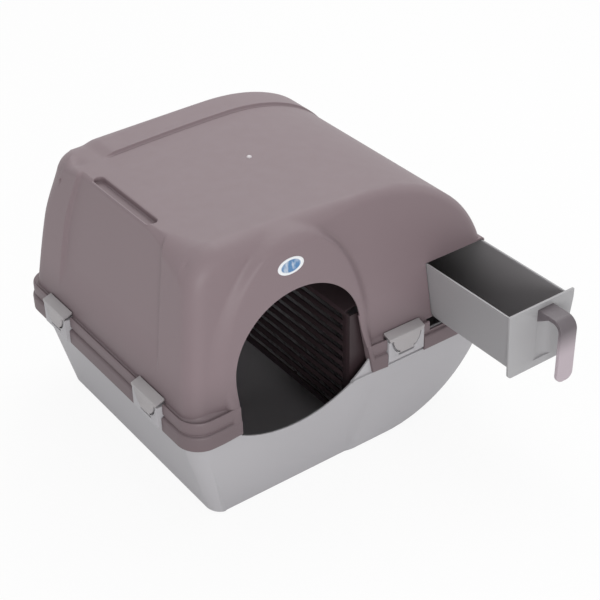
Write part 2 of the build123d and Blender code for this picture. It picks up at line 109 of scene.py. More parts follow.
class Shade(Enum):
    """Colours of the mouldings, as linear red, green and blue."""

    LID = (0.232, 0.174, 0.188)
    BASE = (0.430, 0.420, 0.438)
    TRAY = (0.400, 0.395, 0.405)
    CLIP = (0.385, 0.365, 0.372)
    HANDLE = (0.136, 0.116, 0.127)
    # Grill painted near black: painted shade for the dark inside of the box
    GRILL_PAINTED_SHADE = (0.036, 0.022, 0.025)
    # Tray's inside painted darker: painted shade for the shadow in the tray
    TRAY_PAINTED_SHADE = (0.275, 0.266, 0.272)
    # Gate mark painted pale: a painted highlight on the small raised mark
    GATE_PAINTED_HIGHLIGHT = (0.640, 0.600, 0.620)
    LABEL_EDGE = (0.86, 0.88, 0.90)
    LABEL_FIELD = (0.06, 0.20, 0.42)
    STEEL = (0.55, 0.55, 0.56)
    DUST = (0.62, 0.60, 0.62)
    WHITE = (1.0, 1.0, 1.0)
    FLOOR = (0.96, 0.96, 0.96)


def smooth_step(value: float | np.ndarray, low: float, high: float) -> float | np.ndarray:
    """Soft ramp between two values.

    Args:
        value: Number or array to place on the ramp.
        low: Value at which the ramp starts.
        high: Value at which it reaches one.

    Returns:
        Share from 0 to 1.
    """
    t = np.clip((value - low) / (high - low), 0.0, 1.0)
    return t * t * (3.0 - 2.0 * t)


def round_turns(count: int) -> np.ndarray:
    """Even angles once round a circle, in radians."""
    return np.linspace(0.0, 2 * math.pi, count + 1)[:-1]


# Node helpers


def wire(tree: bpy.types.NodeTree, *pairs: tuple[bpy.types.NodeSocket, bpy.types.NodeSocket]) -> None:
    """Link nodes of a tree.

    Args:
        tree: Node tree that is changed.
        *pairs: Output and input socket of each link.
    """
    for source, target in pairs:
        tree.links.new(source, target)


def math_node(tree: bpy.types.NodeTree, operation: str) -> bpy.types.Node:
    """Add a Math node.

    Args:
        tree: Node tree that is changed.
        operation: Name of the operation.

    Returns:
        The new node.
    """
    node = tree.nodes.new("ShaderNodeMath")
    node.operation = operation
    return node


def ramp_node(tree: bpy.types.NodeTree, low: float, high: float) -> bpy.types.Node:
    """Add a Map Range node that reads between two values.

    Args:
        tree: Node tree that is changed.
        low: Value at which the ramp starts.
        high: Value at which it ends.

    Returns:
        The new node.
    """
    node = tree.nodes.new("ShaderNodeMapRange")
    node.inputs["From Min"].default_value = low
    node.inputs["From Max"].default_value = high
    return node


def colour_mix(tree: bpy.types.NodeTree, second: Shade) -> bpy.types.Node:
    """Add a Mix node for colours.

    Args:
        tree: Node tree that is changed.
        second: Colour that a factor of one gives.

    Returns:
        The new node.
    """
    node = tree.nodes.new("ShaderNodeMix")
    node.data_type = "RGBA"
    node.inputs["B"].default_value = rgba(second)
    return node


def rgba(shade_name: Shade) -> tuple[float, float, float, float]:
    """Colour of a shade with full alpha."""
    return (*shade_name.value, 1.0)


def place_group(tree: bpy.types.NodeTree, group: bpy.types.ShaderNodeTree, **values: float) -> bpy.types.Node:
    """Add a shared group to a material.

    Args:
        tree: Node tree of the material.
        group: Shared node group.
        **values: Input names and values.

    Returns:
        The group's node.
    """
    node = tree.nodes.new("ShaderNodeGroup")
    node.node_tree = group
    for label, value in values.items():
        node.inputs[label].default_value = value
    return node


def new_material(name: str) -> tuple[bpy.types.Material, bpy.types.NodeTree, bpy.types.Node]:
    """Make a material with nodes.

    Args:
        name: Name of the material.

    Returns:
        The material, its node tree and its Principled shader.
    """
    material = bpy.data.materials.new(name)
    material.use_nodes = True
    return material, material.node_tree, material.node_tree.nodes["Principled BSDF"]


# Shader node groups


class NodeGroups:
    """Shader node groups that the finishes share, each built once."""

    def __init__(self) -> None:
        """Build the grain, drift and dust groups, and the group that paints light and shade by height."""
        self.grain = self._grain()
        self.drift = self._drift()
        self.dust = self._dust()
        self.height = self._painted_height_light()

    @staticmethod
    def _start(name: str, inputs: dict[str, float], outputs: tuple[str, ...]) -> bpy.types.ShaderNodeTree:
        """Make an empty group with float sockets.

        Args:
            name: Name of the group.
            inputs: Input names and their default values.
            outputs: Output names.

        Returns:
            The new node tree.
        """
        tree = bpy.data.node_groups.new(name, "ShaderNodeTree")
        for label, value in inputs.items():
            socket = tree.interface.new_socket(label, in_out="INPUT", socket_type="NodeSocketFloat")
            socket.default_value = value
        for label in outputs:
            tree.interface.new_socket(label, in_out="OUTPUT", socket_type="NodeSocketFloat")
        return tree

    @staticmethod
    def _ends(tree: bpy.types.ShaderNodeTree) -> tuple[bpy.types.Node, bpy.types.Node]:
        """Add a group's input and output nodes.

        Args:
            tree: Node tree of the group.

        Returns:
            The input node and the output node.
        """
        return tree.nodes.new("NodeGroupInput"), tree.nodes.new("NodeGroupOutput")

    @staticmethod
    def _noise(
        tree: bpy.types.ShaderNodeTree, scale: bpy.types.NodeSocket, detail: float, stretch: tuple[float, ...]
    ) -> bpy.types.Node:
        """Add a noise texture on object coordinates.

        Args:
            tree: Node tree of the group.
            scale: Socket that drives the noise scale.
            detail: Octaves of the noise.
            stretch: Scale of the coordinates along X, Y and Z.

        Returns:
            The noise node.
        """
        place = tree.nodes.new("ShaderNodeTexCoord")
        mapping = tree.nodes.new("ShaderNodeMapping")
        mapping.inputs["Scale"].default_value = stretch
        noise = tree.nodes.new("ShaderNodeTexNoise")
        noise.inputs["Detail"].default_value = detail
        wire(
            tree,
            (place.outputs["Object"], mapping.inputs["Vector"]),
            (mapping.outputs["Vector"], noise.inputs["Vector"]),
            (scale, noise.inputs["Scale"]),
        )
        return noise

    def _grain(self) -> bpy.types.ShaderNodeTree:
        """Fine moulded grain: a height and a roughness that varies with it.

        Returns:
            The node tree of the group.
        """
        inputs = {"Scale": 900.0, "Roughness": 0.5, "Spread": 0.06}
        tree = self._start("moulded_grain", inputs, ("Height", "Roughness"))
        start, end = self._ends(tree)
        noise = self._noise(tree, start.outputs["Scale"], 3.0, (1.0, 1.0, 1.0))
        centred = math_node(tree, "SUBTRACT")
        centred.inputs[1].default_value = 0.5
        spread = math_node(tree, "MULTIPLY_ADD")
        wire(
            tree,
            (noise.outputs["Fac"], centred.inputs[0]),
            (centred.outputs[0], spread.inputs[0]),
            (start.outputs["Spread"], spread.inputs[1]),
            (start.outputs["Roughness"], spread.inputs[2]),
            (noise.outputs["Fac"], end.inputs["Height"]),
            (spread.outputs[0], end.inputs["Roughness"]),
        )
        return tree

    def _drift(self) -> bpy.types.ShaderNodeTree:
        """Slow change of tone from the way that the plastic flowed in its mould.

        Returns:
            The node tree of the group.
        """
        tree = self._start("flow_drift", {"Scale": 5.0, "Low": 0.94, "High": 1.06}, ("Tone",))
        start, end = self._ends(tree)
        noise = self._noise(tree, start.outputs["Scale"], 2.0, (1.0, 1.0, 0.35))
        ramp = ramp_node(tree, 0.3, 0.7)
        wire(
            tree,
            (noise.outputs["Fac"], ramp.inputs["Value"]),
            (start.outputs["Low"], ramp.inputs["To Min"]),
            (start.outputs["High"], ramp.inputs["To Max"]),
            (ramp.outputs["Result"], end.inputs["Tone"]),
        )
        return tree

    def _dust(self) -> bpy.types.ShaderNodeTree:
        """Thin dust that settles on faces that look up.

        Returns:
            The node tree of the group.
        """
        tree = self._start("settled_dust", {"Scale": 60.0, "Amount": 0.1}, ("Mask",))
        start, end = self._ends(tree)
        noise = self._noise(tree, start.outputs["Scale"], 4.0, (1.0, 1.0, 1.0))
        geometry = tree.nodes.new("ShaderNodeNewGeometry")
        split = tree.nodes.new("ShaderNodeSeparateXYZ")
        upward = ramp_node(tree, 0.3, 1.0)
        patchy = math_node(tree, "MULTIPLY")
        amount = math_node(tree, "MULTIPLY")
        wire(
            tree,
            (geometry.outputs["Normal"], split.inputs[0]),
            (split.outputs["Z"], upward.inputs["Value"]),
            (upward.outputs["Result"], patchy.inputs[0]),
            (noise.outputs["Fac"], patchy.inputs[1]),
            (patchy.outputs[0], amount.inputs[0]),
            (start.outputs["Amount"], amount.inputs[1]),
            (amount.outputs[0], end.inputs["Mask"]),
        )
        return tree

    def _painted_height_light(self) -> bpy.types.ShaderNodeTree:
        """Painted light and shade, changing from a piece's foot up to a given height.

        Returns:
            The node tree of the group.
        """
        tree = self._start("painted_height_light", {"Low": 0.0, "High": 1.0, "Foot": 1.0}, ("Tone",))
        start, end = self._ends(tree)
        place = tree.nodes.new("ShaderNodeTexCoord")
        split = tree.nodes.new("ShaderNodeSeparateXYZ")
        ramp = tree.nodes.new("ShaderNodeMapRange")
        ramp.interpolation_type = "SMOOTHSTEP"
        ramp.inputs["To Max"].default_value = 1.0
        wire(
            tree,
            (place.outputs["Object"], split.inputs[0]),
            (split.outputs["Z"], ramp.inputs["Value"]),
            (start.outputs["Low"], ramp.inputs["From Min"]),
            (start.outputs["High"], ramp.inputs["From Max"]),
            (start.outputs["Foot"], ramp.inputs["To Min"]),
            (ramp.outputs["Result"], end.inputs["Tone"]),
        )
        return tree


# Finishes


@dataclass(frozen=True)
class MouldedPlastic:
    """Fine-grained moulded plastic."""

    name: str
    shade: Shade
    roughness: float = 0.48
    spread: float = 0.08
    grain_scale: float = 1100.0
    grain_height: float = 0.12
    bump_depth: float = 0.4
    drift_scale: float = 4.0
    drift_low: float = 0.985
    drift_high: float = 1.015
    dust_scale: float = 45.0
    dust: float = 0.06
    specular: float = 0.42
    # Painted light and shade by height: low down the colour is scaled by the foot value, darker as painted
    # shade below one and lighter as a painted highlight above one
    painted_foot_light: float = 1.0
    foot_low: float = 0.0
    foot_high: float = 10.0

    def build(self, groups: NodeGroups) -> bpy.types.Material:
        """Make the material.

        Args:
            groups: Shared node groups.

        Returns:
            The finished material.
        """
        material, tree, shader = new_material(self.name)
        shader.inputs["Specular IOR Level"].default_value = self.specular
        grain = place_group(
            tree, groups.grain, Scale=self.grain_scale, Roughness=self.roughness, Spread=self.spread
        )
        drift = place_group(
            tree, groups.drift, Scale=self.drift_scale, Low=self.drift_low, High=self.drift_high
        )
        dust = place_group(tree, groups.dust, Scale=self.dust_scale, Amount=self.dust)
        # Painted light and shade that changes with height
        rise = place_group(
            tree, groups.height, Low=self.foot_low * MM, High=self.foot_high * MM, Foot=self.painted_foot_light
        )
        both = math_node(tree, "MULTIPLY")
        toned = tree.nodes.new("ShaderNodeVectorMath")
        toned.operation = "SCALE"
        toned.inputs[0].default_value = self.shade.value
        dusted = colour_mix(tree, Shade.DUST)
        bump = tree.nodes.new("ShaderNodeBump")
        bump.inputs["Strength"].default_value = self.grain_height
        bump.inputs["Distance"].default_value = self.bump_depth * MM
        wire(
            tree,
            (drift.outputs["Tone"], both.inputs[0]),
            (rise.outputs["Tone"], both.inputs[1]),
            (both.outputs[0], toned.inputs["Scale"]),
            (toned.outputs["Vector"], dusted.inputs["A"]),
            (dust.outputs["Mask"], dusted.inputs["Factor"]),
            (dusted.outputs["Result"], shader.inputs["Base Color"]),
            (grain.outputs["Roughness"], shader.inputs["Roughness"]),
            (grain.outputs["Height"], bump.inputs["Height"]),
            (bump.outputs["Normal"], shader.inputs["Normal"]),
        )
        return material


@dataclass(frozen=True)
class PlatedSteel:
    """Bright zinc-plated steel of the screws and hinge pins."""

    name: str
    shade: Shade
    roughness: float = 0.32
    spread: float = 0.15
    grain_scale: float = 2400.0

    def build(self, groups: NodeGroups) -> bpy.types.Material:
        """Make the material.

        Args:
            groups: Shared node groups.

        Returns:
            The finished material.
        """
        material, tree, shader = new_material(self.name)
        shader.inputs["Metallic"].default_value = 1.0
        shader.inputs["Base Color"].default_value = rgba(self.shade)
        grain = place_group(
            tree, groups.grain, Scale=self.grain_scale, Roughness=self.roughness, Spread=self.spread
        )
        wire(tree, (grain.outputs["Roughness"], shader.inputs["Roughness"]))
        return material


@dataclass(frozen=True)
class PrintedLabel:
    """Glossy label: a pale border round a bare, softly clouded field."""

    name: str
    edge: Shade
    field_shade: Shade
    centre: tuple[float, float, float]
    half_width: float
    half_height: float
    coat: float = 0.6
    roughness: float = 0.28
    spread: float = 0.05
    grain_scale: float = 700.0
    border: tuple[float, float] = (0.70, 0.78)
    cloud_scale: float = 150.0
    cloud_range: tuple[float, float] = (-0.25, 0.80)

    def build(self, groups: NodeGroups) -> bpy.types.Material:
        """Make the material.

        Args:
            groups: Shared node groups.

        Returns:
            The finished material.
        """
        material, tree, shader = new_material(self.name)
        shader.inputs["Coat Weight"].default_value = self.coat
        place = tree.nodes.new("ShaderNodeTexCoord")
        mapping = tree.nodes.new("ShaderNodeMapping")
        mapping.vector_type = "TEXTURE"
        mapping.inputs["Location"].default_value = tuple(v * MM for v in self.centre)
        mapping.inputs["Scale"].default_value = (self.half_width * MM, 1.0, self.half_height * MM)
        length = tree.nodes.new("ShaderNodeVectorMath")
        length.operation = "LENGTH"
        border = ramp_node(tree, *self.border)
        low, high = self.cloud_range
        clouds = place_group(tree, groups.drift, Scale=self.cloud_scale, Low=low, High=high)
        clouded = colour_mix(tree, self.edge)
        clouded.inputs["A"].default_value = rgba(self.field_shade)
        ringed = colour_mix(tree, self.edge)
        grain = place_group(
            tree, groups.grain, Scale=self.grain_scale, Roughness=self.roughness, Spread=self.spread
        )
        wire(
            tree,
            (place.outputs["Object"], mapping.inputs["Vector"]),
            (mapping.outputs["Vector"], length.inputs[0]),
            (length.outputs["Value"], border.inputs["Value"]),
            (clouds.outputs["Tone"], clouded.inputs["Factor"]),
            (clouded.outputs["Result"], ringed.inputs["A"]),
            (border.outputs["Result"], ringed.inputs["Factor"]),
            (ringed.outputs["Result"], shader.inputs["Base Color"]),
            (grain.outputs["Roughness"], shader.inputs["Roughness"]),
        )
        return material


class Finishes:
    """Every finish of the box, by name."""

    def __init__(self) -> None:
        """Build all the materials."""
        groups = NodeGroups()
        oval = Label()
        # The lid is painted darker towards its foot: painted shade on the skirt and the low walls
        self.lid = MouldedPlastic(
            "lid_plastic", Shade.LID, painted_foot_light=0.66, foot_low=160.0, foot_high=275.0
        ).build(groups)
        # The gate mark is painted pale as a painted highlight
        self.gate = MouldedPlastic("gate_painted_highlight", Shade.GATE_PAINTED_HIGHLIGHT, roughness=0.2, specular=0.7).build(groups)
        self.base = MouldedPlastic("base_plastic", Shade.BASE, roughness=0.52).build(groups)
        self.tray = MouldedPlastic("tray_plastic", Shade.TRAY, roughness=0.5).build(groups)
        # Painted shade: the tray's inside is painted darker for the shadow in it
        self.tray_painted_shade = MouldedPlastic(
            "tray_painted_shade_plastic", Shade.TRAY_PAINTED_SHADE, roughness=0.4
        ).build(groups)
        self.clip = MouldedPlastic("clip_plastic", Shade.CLIP, roughness=0.42).build(groups)
        # The handle's grip is painted lighter below its bend: a painted highlight for the reflection on its
        # front
        self.handle = MouldedPlastic(
            "handle_plastic", Shade.HANDLE, roughness=0.34, painted_foot_light=3.5, foot_low=228.0, foot_high=284.0
        ).build(groups)
        # Painted shade: the grill's plastic is painted near black for the shade inside the box
        self.grill = MouldedPlastic("grill_plastic", Shade.GRILL_PAINTED_SHADE, roughness=0.45, dust=0.03).build(groups)
        self.steel = PlatedSteel("plated_steel", Shade.STEEL).build(groups)
        self.label = PrintedLabel(
            "label_print", Shade.LABEL_EDGE, Shade.LABEL_FIELD, (oval.x, oval.face, oval.z), oval.half_width,
            oval.half_height,
        ).build(groups)


# Mesh helpers


def link(name: str, mesh: bpy.types.Mesh) -> bpy.types.Object:
    """Put a mesh into the scene.

    Args:
        name: Name of the piece.
        mesh: Mesh of the piece.

    Returns:
        The new object.
    """
    piece = bpy.data.objects.new(name, mesh)
    bpy.context.scene.collection.objects.link(piece)
    return piece


def mesh_from(
    name: str, points: list[tuple[float, float, float]], faces: list[tuple[int, ...]]
) -> bpy.types.Object:
    """Make an object from points in millimetres.

    Args:
        name: Name of the piece.
        points: Corner points.
        faces: Corner numbers of each face.

    Returns:
        The new object.
    """
    mesh = bpy.data.meshes.new(name)
    mesh.from_pydata([tuple(v * MM for v in p) for p in points], [], faces)
    mesh.validate()
    mesh.update()
    return link(name, mesh)


def ring_faces(rows: int, width: int) -> list[tuple[int, ...]]:
    """Faces between rings of points, each closed round on itself.

    Args:
        rows: Number of rings.
        width: Points in each ring.

    Returns:
        Corner numbers of each face.
    """
    return [
        (r * width + i, r * width + (i + 1) % width, (r + 1) * width + (i + 1) % width, (r + 1) * width + i)
        for r in range(rows - 1) for i in range(width)
    ]


def stack_rings(name: str, points: list[tuple[float, float, float]], width: int) -> bpy.types.Object:
    """Closed mesh through rings of points, with both ends capped.

    Args:
        name: Name of the piece.
        points: Points of all the rings, one ring after another.
        width: Points in each ring.

    Returns:
        The new object, with its faces turned outwards.
    """
    count = len(points)
    faces: list[tuple[int, ...]] = [tuple(range(width)), tuple(range(count - 1, count - width - 1, -1))]
    faces += ring_faces(count // width, width)
    piece = mesh_from(name, points, faces)
    turn_outwards(piece)
    return piece


def prism_y(name: str, outline: list[tuple[float, float]], near: float, far: float) -> bpy.types.Object:
    """Closed prism along Y with an outline in X and Z.

    Args:
        name: Name of the piece.
        outline: X and Z of each corner, in order.
        near: Lowest Y.
        far: Highest Y.

    Returns:
        The new object, with its faces turned outwards.
    """
    return stack_rings(name, [(x, y, z) for y in (near, far) for x, z in outline], len(outline))


def box_piece(
    name: str, low: tuple[float, float, float], high: tuple[float, float, float]
) -> bpy.types.Object:
    """Closed box between two corners."""
    outline = [(low[0], low[2]), (high[0], low[2]), (high[0], high[2]), (low[0], high[2])]
    return prism_y(name, outline, low[1], high[1])


def turn_outwards(piece: bpy.types.Object) -> None:
    """Make a closed mesh's faces look outwards.

    Args:
        piece: Mesh that is changed.
    """
    work = bmesh.new()
    work.from_mesh(piece.data)
    bmesh.ops.recalc_face_normals(work, faces=work.faces)
    work.to_mesh(piece.data)
    work.free()


def apply_modifiers(piece: bpy.types.Object) -> None:
    """Turn a piece's modifiers into plain mesh.

    Args:
        piece: Mesh that is changed.
    """
    bpy.context.view_layer.update()
    graph = bpy.context.evaluated_depsgraph_get()
    mesh = bpy.data.meshes.new_from_object(piece.evaluated_get(graph))
    piece.modifiers.clear()
    piece.data = mesh


def carve(piece: bpy.types.Object, cutter: bpy.types.Object, add: bool = False) -> None:
    """Cut one closed mesh from another, or join it on, and drop the cutter.

    Args:
        piece: Mesh that is changed.
        cutter: Mesh that is taken away or joined on.
        add: Join instead of cut.
    """
    step = piece.modifiers.new("carve", "BOOLEAN")
    step.operation = "UNION" if add else "DIFFERENCE"
    step.solver = "MANIFOLD"
    step.object = cutter
    apply_modifiers(piece)
    bpy.data.objects.remove(cutter)


def round_off(piece: bpy.types.Object, width: float, segments: int = 2, angle: float = 30.0) -> None:
    """Soften the edges of a piece and shade it smooth.

    Args:
        piece: Mesh that is changed.
        width: Width of the softened edge, in millimetres.
        segments: Steps across the edge.
        angle: Smallest angle between faces that counts as an edge, in degrees.
    """
    if width > 0:
        step = piece.modifiers.new("edge", "BEVEL")
        step.width = width * MM
        step.segments = segments
        step.limit_method = "ANGLE"
        step.angle_limit = math.radians(angle)
        step.use_clamp_overlap = True
        apply_modifiers(piece)
    shade(piece, angle)


def shade(piece: bpy.types.Object, angle: float = 30.0) -> None:
    """Shade a piece smooth, with sharp edges above an angle in degrees."""
    piece.data.shade_smooth()
    piece.data.set_sharp_from_angle(angle=math.radians(angle))


def dress(piece: bpy.types.Object, material: bpy.types.Material, body: Body) -> None:
    """Give a piece its finish and the body that it moves with.

    Args:
        piece: Object to dress.
        material: Finish of the whole piece.
        body: Body that the piece rides on.
    """
    piece.data.materials.clear()
    piece.data.materials.append(material)
    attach(piece, body.value)
    LOG.info("%s rides on %s", piece.name, body.value)


def moulding(frame: dict, node: str, name: str, width: float) -> bpy.types.Object:
    """Copy of a frame node with merged facets and softened edges.

    Args:
        frame: Loaded frame.
        node: Name of the frame's node.
        name: Name of the new piece.
        width: Width of the softened edges, in millimetres.

    Returns:
        The new object, which stands for the node.
    """
    piece = link(name, frame["nodes"][node].data.copy())
    work = bmesh.new()
    work.from_mesh(piece.data)
    bmesh.ops.remove_doubles(work, verts=work.verts, dist=MERGE_DISTANCE)
    bmesh.ops.dissolve_limit(work, angle_limit=math.radians(FLAT_ANGLE), verts=work.verts, edges=work.edges)
    work.to_mesh(piece.data)
    work.free()
    round_off(piece, width)
    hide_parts(node)
    return piece


# Lid


@dataclass
class LidShell:
    """Domed lid with its door, tray port, hood and pressed details."""

    foot: float = 196.3
    ledge: float = 207.0
    top: float = 460.0
    left: float = -288.0
    left_lean: float = 29.0 / 253.0
    right: float = 292.0
    front: float = -220.0
    front_lean: float = 14.0 / 253.0
    rear: float = 272.0
    rear_lean: float = 66.0 / 253.0
    rear_belly: float = 7.0
    dome_start: float = 30.0
    dome_foot: float = 250.0
    wall: float = 3.0
    ridge: float = 8.0
    ridge_front: float = 58.0
    ridge_rear: float = 28.0
    corner: float = 28.0
    crease: float = 13.0
    crease_angle: float = 0.40
    crease_run: float = 30.0
    right_draw: float = 18.0
    rear_corner_growth: float = 20.0
    rear_corner_from: float = 340.0
    ridge_front_zone: tuple[float, float] = (75.0, 215.0)
    ridge_rear_zone: tuple[float, float] = (110.0, 205.0)
    # X along the top, and how far the rounding of the front or rear end draws down there
    shoulder: tuple[tuple[float, float], ...] = ((-260.0, 34.0), (-198.0, 32.0), (-55.0, 25.0), (30.0, 13.0))
    rear_edge: tuple[tuple[float, float], ...] = ((-260.0, 20.0), (-150.0, 14.0), (30.0, 13.0))
    hood_x: float = -95.0
    hood_z: float = 226.0
    hood_half: float = 126.0
    hood_rise: float = 221.0
    hood_face: float = -222.5
    hood_cove: float = 20.0
    hood_cove_left: float = 36.0
    hood_cove_top: float = 11.0
    # Places of the pressed panel and the raised rim, between the front end, at 0, and the rear end, at 1
    panel_front: float = 0.140
    panel_rear: float = 0.862
    panel_ease: float = 0.022
    panel_sink: float = 6.0
    panel_heights: tuple[float, float] = (225.0, 290.0)
    panel_edge: tuple[float, float] = (2.0, 16.0)
    rim_start: float = 0.867
    rim_width: float = 0.007
    rim_rise: float = 4.5
    rim_from_x: tuple[float, float] = (-206.0, -180.0)
    rim_from_z: tuple[float, float] = (350.0, 425.0)
    groove_sink: float = 2.2
    groove_half: float = 0.006
    pit: tuple[float, float] = (-241.0, 148.0)
    pit_spread: tuple[float, float] = (13.0, 15.0)
    pit_sink: float = 4.0
    gate_mark: tuple[float, float] = (-22.0, -3.0)
    gate_radius: float = 4.2
    # Share of the radius, and height above the lid's top
    gate_levels: tuple[tuple[float, float], ...] = (
        (1.0, -0.4), (0.96, 0.8), (0.85, 1.6), (0.65, 2.2), (0.4, 2.6), (0.15, 2.8),
    )
    gate_steps: int = 28
    slot_x: float = -241.0
    slot_y: float = 3.0
    slot_length: float = 168.0
    slot_width: float = 17.0
    slot_depth: float = 9.5
    # Height above the slot's bottom or the lid's top, and how far the slot is wider there
    slot_foot: tuple[tuple[float, float], ...] = ((0.0, -1.5), (1.5, 0.0))
    slot_lip: tuple[tuple[float, float], ...] = ((-1.8, 0.0), (-0.5, 0.7), (0.3, 2.2))
    slot_steps: int = 48
    well_under: float = 1.5
    # Rows of points along each stretch of the profile and across the ends
    wall_steps: int = 76
    ridge_steps: int = 8
    top_steps: int = 96
    dome_steps: int = 120
    side_steps: int = 14
    fillet_steps: int = 9
    front_steps: int = 110
    rear_steps: int = 40
    body_pitch: float = 5.0
    # Rows lie close together round the panel's ends and the rim
    fine_rear: float = 0.858
    fine_reach: float = 0.014
    fine_rows: int = 15
    draw_samples: int = 40
    sharp_above: float = 35.0
    gate_sharp_above: float = 60.0

    def profile(self, left_in: np.ndarray, top_in: np.ndarray, right_in: float, ridge: float) -> np.ndarray:
        """Side view of the lid, from the left foot over the top to the right foot.

        Args:
            left_in: How far each point of the left wall is drawn in.
            top_in: How far each point of the top is drawn down.
            right_in: How far the right side is drawn in.
            ridge: Radius between the left wall and the top.

        Returns:
            X and Z of every point.
        """
        lean = self.left_lean
        z_wall = np.linspace(self.foot, self.top - top_in[0] - ridge, self.wall_steps)
        x_wall = self.left + lean * (z_wall - self.ledge) + np.interp(
            z_wall, np.linspace(self.foot, self.top - ridge, len(left_in)), left_in
        )
        start = np.array([x_wall[-1], z_wall[-1]])
        angles = np.linspace(0.0, math.pi / 2, self.ridge_steps + 2)[1:-1]
        x_ridge = start[0] + ridge * (1 - np.cos(angles)) + lean * ridge * np.sin(angles) * 0.5
        z_ridge = start[1] + ridge * np.sin(angles)
        x_top = np.linspace(start[0] + ridge, self.dome_start, self.top_steps)
        z_top = self.top - np.interp(x_top, np.linspace(self.left, self.dome_start, len(top_in)), top_in)
        sweep = np.linspace(math.pi / 2, 0.0, self.dome_steps + 1)[1:]
        x_dome = self.dome_start + (self.right - right_in - self.dome_start) * np.cos(sweep)
        z_dome = self.dome_foot + (self.top - top_in[-1] - self.dome_foot) * np.sin(sweep)
        z_side = np.linspace(self.dome_foot, self.foot, self.side_steps + 1)[1:]
        x_side = np.full_like(z_side, self.right - right_in)
        xs = np.concatenate([x_wall, x_ridge, x_top, x_dome, x_side])
        zs = np.concatenate([z_wall, z_ridge, z_top, z_dome, z_side])
        return np.stack([xs, zs], axis=1)

    def depths(self, outline: np.ndarray, front: bool) -> np.ndarray:
        """Y of the front or rear wall at each point.

        Args:
            outline: X and Z of the points.
            front: True for the front wall.

        Returns:
            Y of every point.
        """
        z = outline[:, 1]
        if front:
            return self.front + self.front_lean * (z - self.ledge)
        share = np.clip((z - self.ledge) / (self.top - self.ledge), 0.0, 1.0)
        return self.rear - self.rear_lean * (z - self.ledge) + self.rear_belly * np.sin(math.pi * share)

    def edge_sizes(self, front: bool) -> tuple[np.ndarray, np.ndarray, float]:
        """How far the end walls' rounding draws in along the profile.

        Args:
            front: True for the front end.

        Returns:
            Draw on the left wall, draw on the top, and draw on the right side.
        """
        heights = np.linspace(self.foot, self.top, self.draw_samples)
        left_in = np.full(self.draw_samples, self.corner)
        if not front:
            left_in += self.rear_corner_growth * smooth_step(heights, self.rear_corner_from, self.top)
        places, draws = zip(*(self.shoulder if front else self.rear_edge))
        top_in = np.interp(np.linspace(self.left, self.dome_start, self.draw_samples), places, draws)
        return left_in, top_in, self.right_draw

    def ridge_at(self, y: float) -> float:
        """Radius between the left wall and the top, which grows towards both ends.

        Args:
            y: Depth at which it is asked for.

        Returns:
            Radius in millimetres.
        """
        ahead = float(smooth_step(-y, *self.ridge_front_zone)) * (self.ridge_front - self.ridge)
        behind = float(smooth_step(y, *self.ridge_rear_zone)) * (self.ridge_rear - self.ridge)
        return self.ridge + ahead + behind

    def crease_start(self, outline: np.ndarray) -> np.ndarray:
        """Angle at which the rounding starts, which leaves a crease along the top and the dome.

        Args:
            outline: X and Z of the profile's points.

        Returns:
            Angle of every point, in radians.
        """
        along = np.arange(len(outline), dtype=float)
        end = self.wall_steps + self.ridge_steps + self.crease_run
        return self.crease_angle * smooth_step(along, self.wall_steps, end)

    def hood_share(self, x: np.ndarray, z: np.ndarray) -> np.ndarray:
        """Share of the hood's face at each point of the front.

        Args:
            x: X of the points.
            z: Z of the points.

        Returns:
            One on the hood, falling to zero across the cove around it.
        """
        dx, dz = x - self.hood_x, np.maximum(z - self.hood_z, 0.0)
        ratio = np.sqrt((dx / self.hood_half) ** 2 + (dz / self.hood_rise) ** 2)
        reach = np.hypot(dx, dz) * (1.0 - 1.0 / np.maximum(ratio, 1e-6))
        aside = np.where(dx < 0, self.hood_cove_left, self.hood_cove)
        upward = (dz / np.maximum(np.hypot(dx, dz), 1e-6)) ** 4
        cove = aside + (self.hood_cove_top - aside) * upward
        return 1.0 - smooth_step(reach / cove, 0.0, 1.0)

    def end_rings(self, front: bool) -> list[np.ndarray]:
        """Rings of one end, from the start of the rounding to near the middle of the wall.

        Args:
            front: True for the front end.

        Returns:
            Point arrays in X, Y and Z.
        """
        side = 1.0 if front else -1.0
        none = np.zeros(self.draw_samples)
        ridge = self.ridge_front if front else self.ridge_rear
        outer = self.profile(none, none, 0.0, ridge)
        inner = self.profile(*self.edge_sizes(front), max(ridge - self.corner, self.ridge))
        draw = np.linalg.norm(inner - outer, axis=1)
        start = self.crease_start(outer)
        rings = []
        for share in np.linspace(0.0, 1.0, self.fillet_steps):
            angle = start + (math.pi / 2 - start) * share
            inward = (np.cos(start) - np.cos(angle)) / np.cos(start)
            flat = outer + (inner - outer) * inward[:, None]
            y = self.depths(flat, front) + side * draw * (1.0 - np.sin(angle)) / (1.0 - np.sin(start))
            rings.append(np.stack([flat[:, 0], y, flat[:, 1]], axis=1))
        centre = np.array([self.hood_x, self.foot])
        steps = self.front_steps if front else self.rear_steps
        for share in np.linspace(0.0, 1.0, steps + 1)[1:-1]:
            flat = inner + (centre - inner) * share
            rings.append(np.stack([flat[:, 0], self.depths(flat, front), flat[:, 1]], axis=1))
        if front:
            for index, ring in enumerate(rings):
                share = self.hood_share(ring[:, 0], ring[:, 2])
                share *= smooth_step(index / self.fillet_steps, 0.0, 1.0)
                ahead = np.minimum(self.hood_face - ring[:, 1], 0.0)
                ring[:, 1] += ahead * share
        return rings

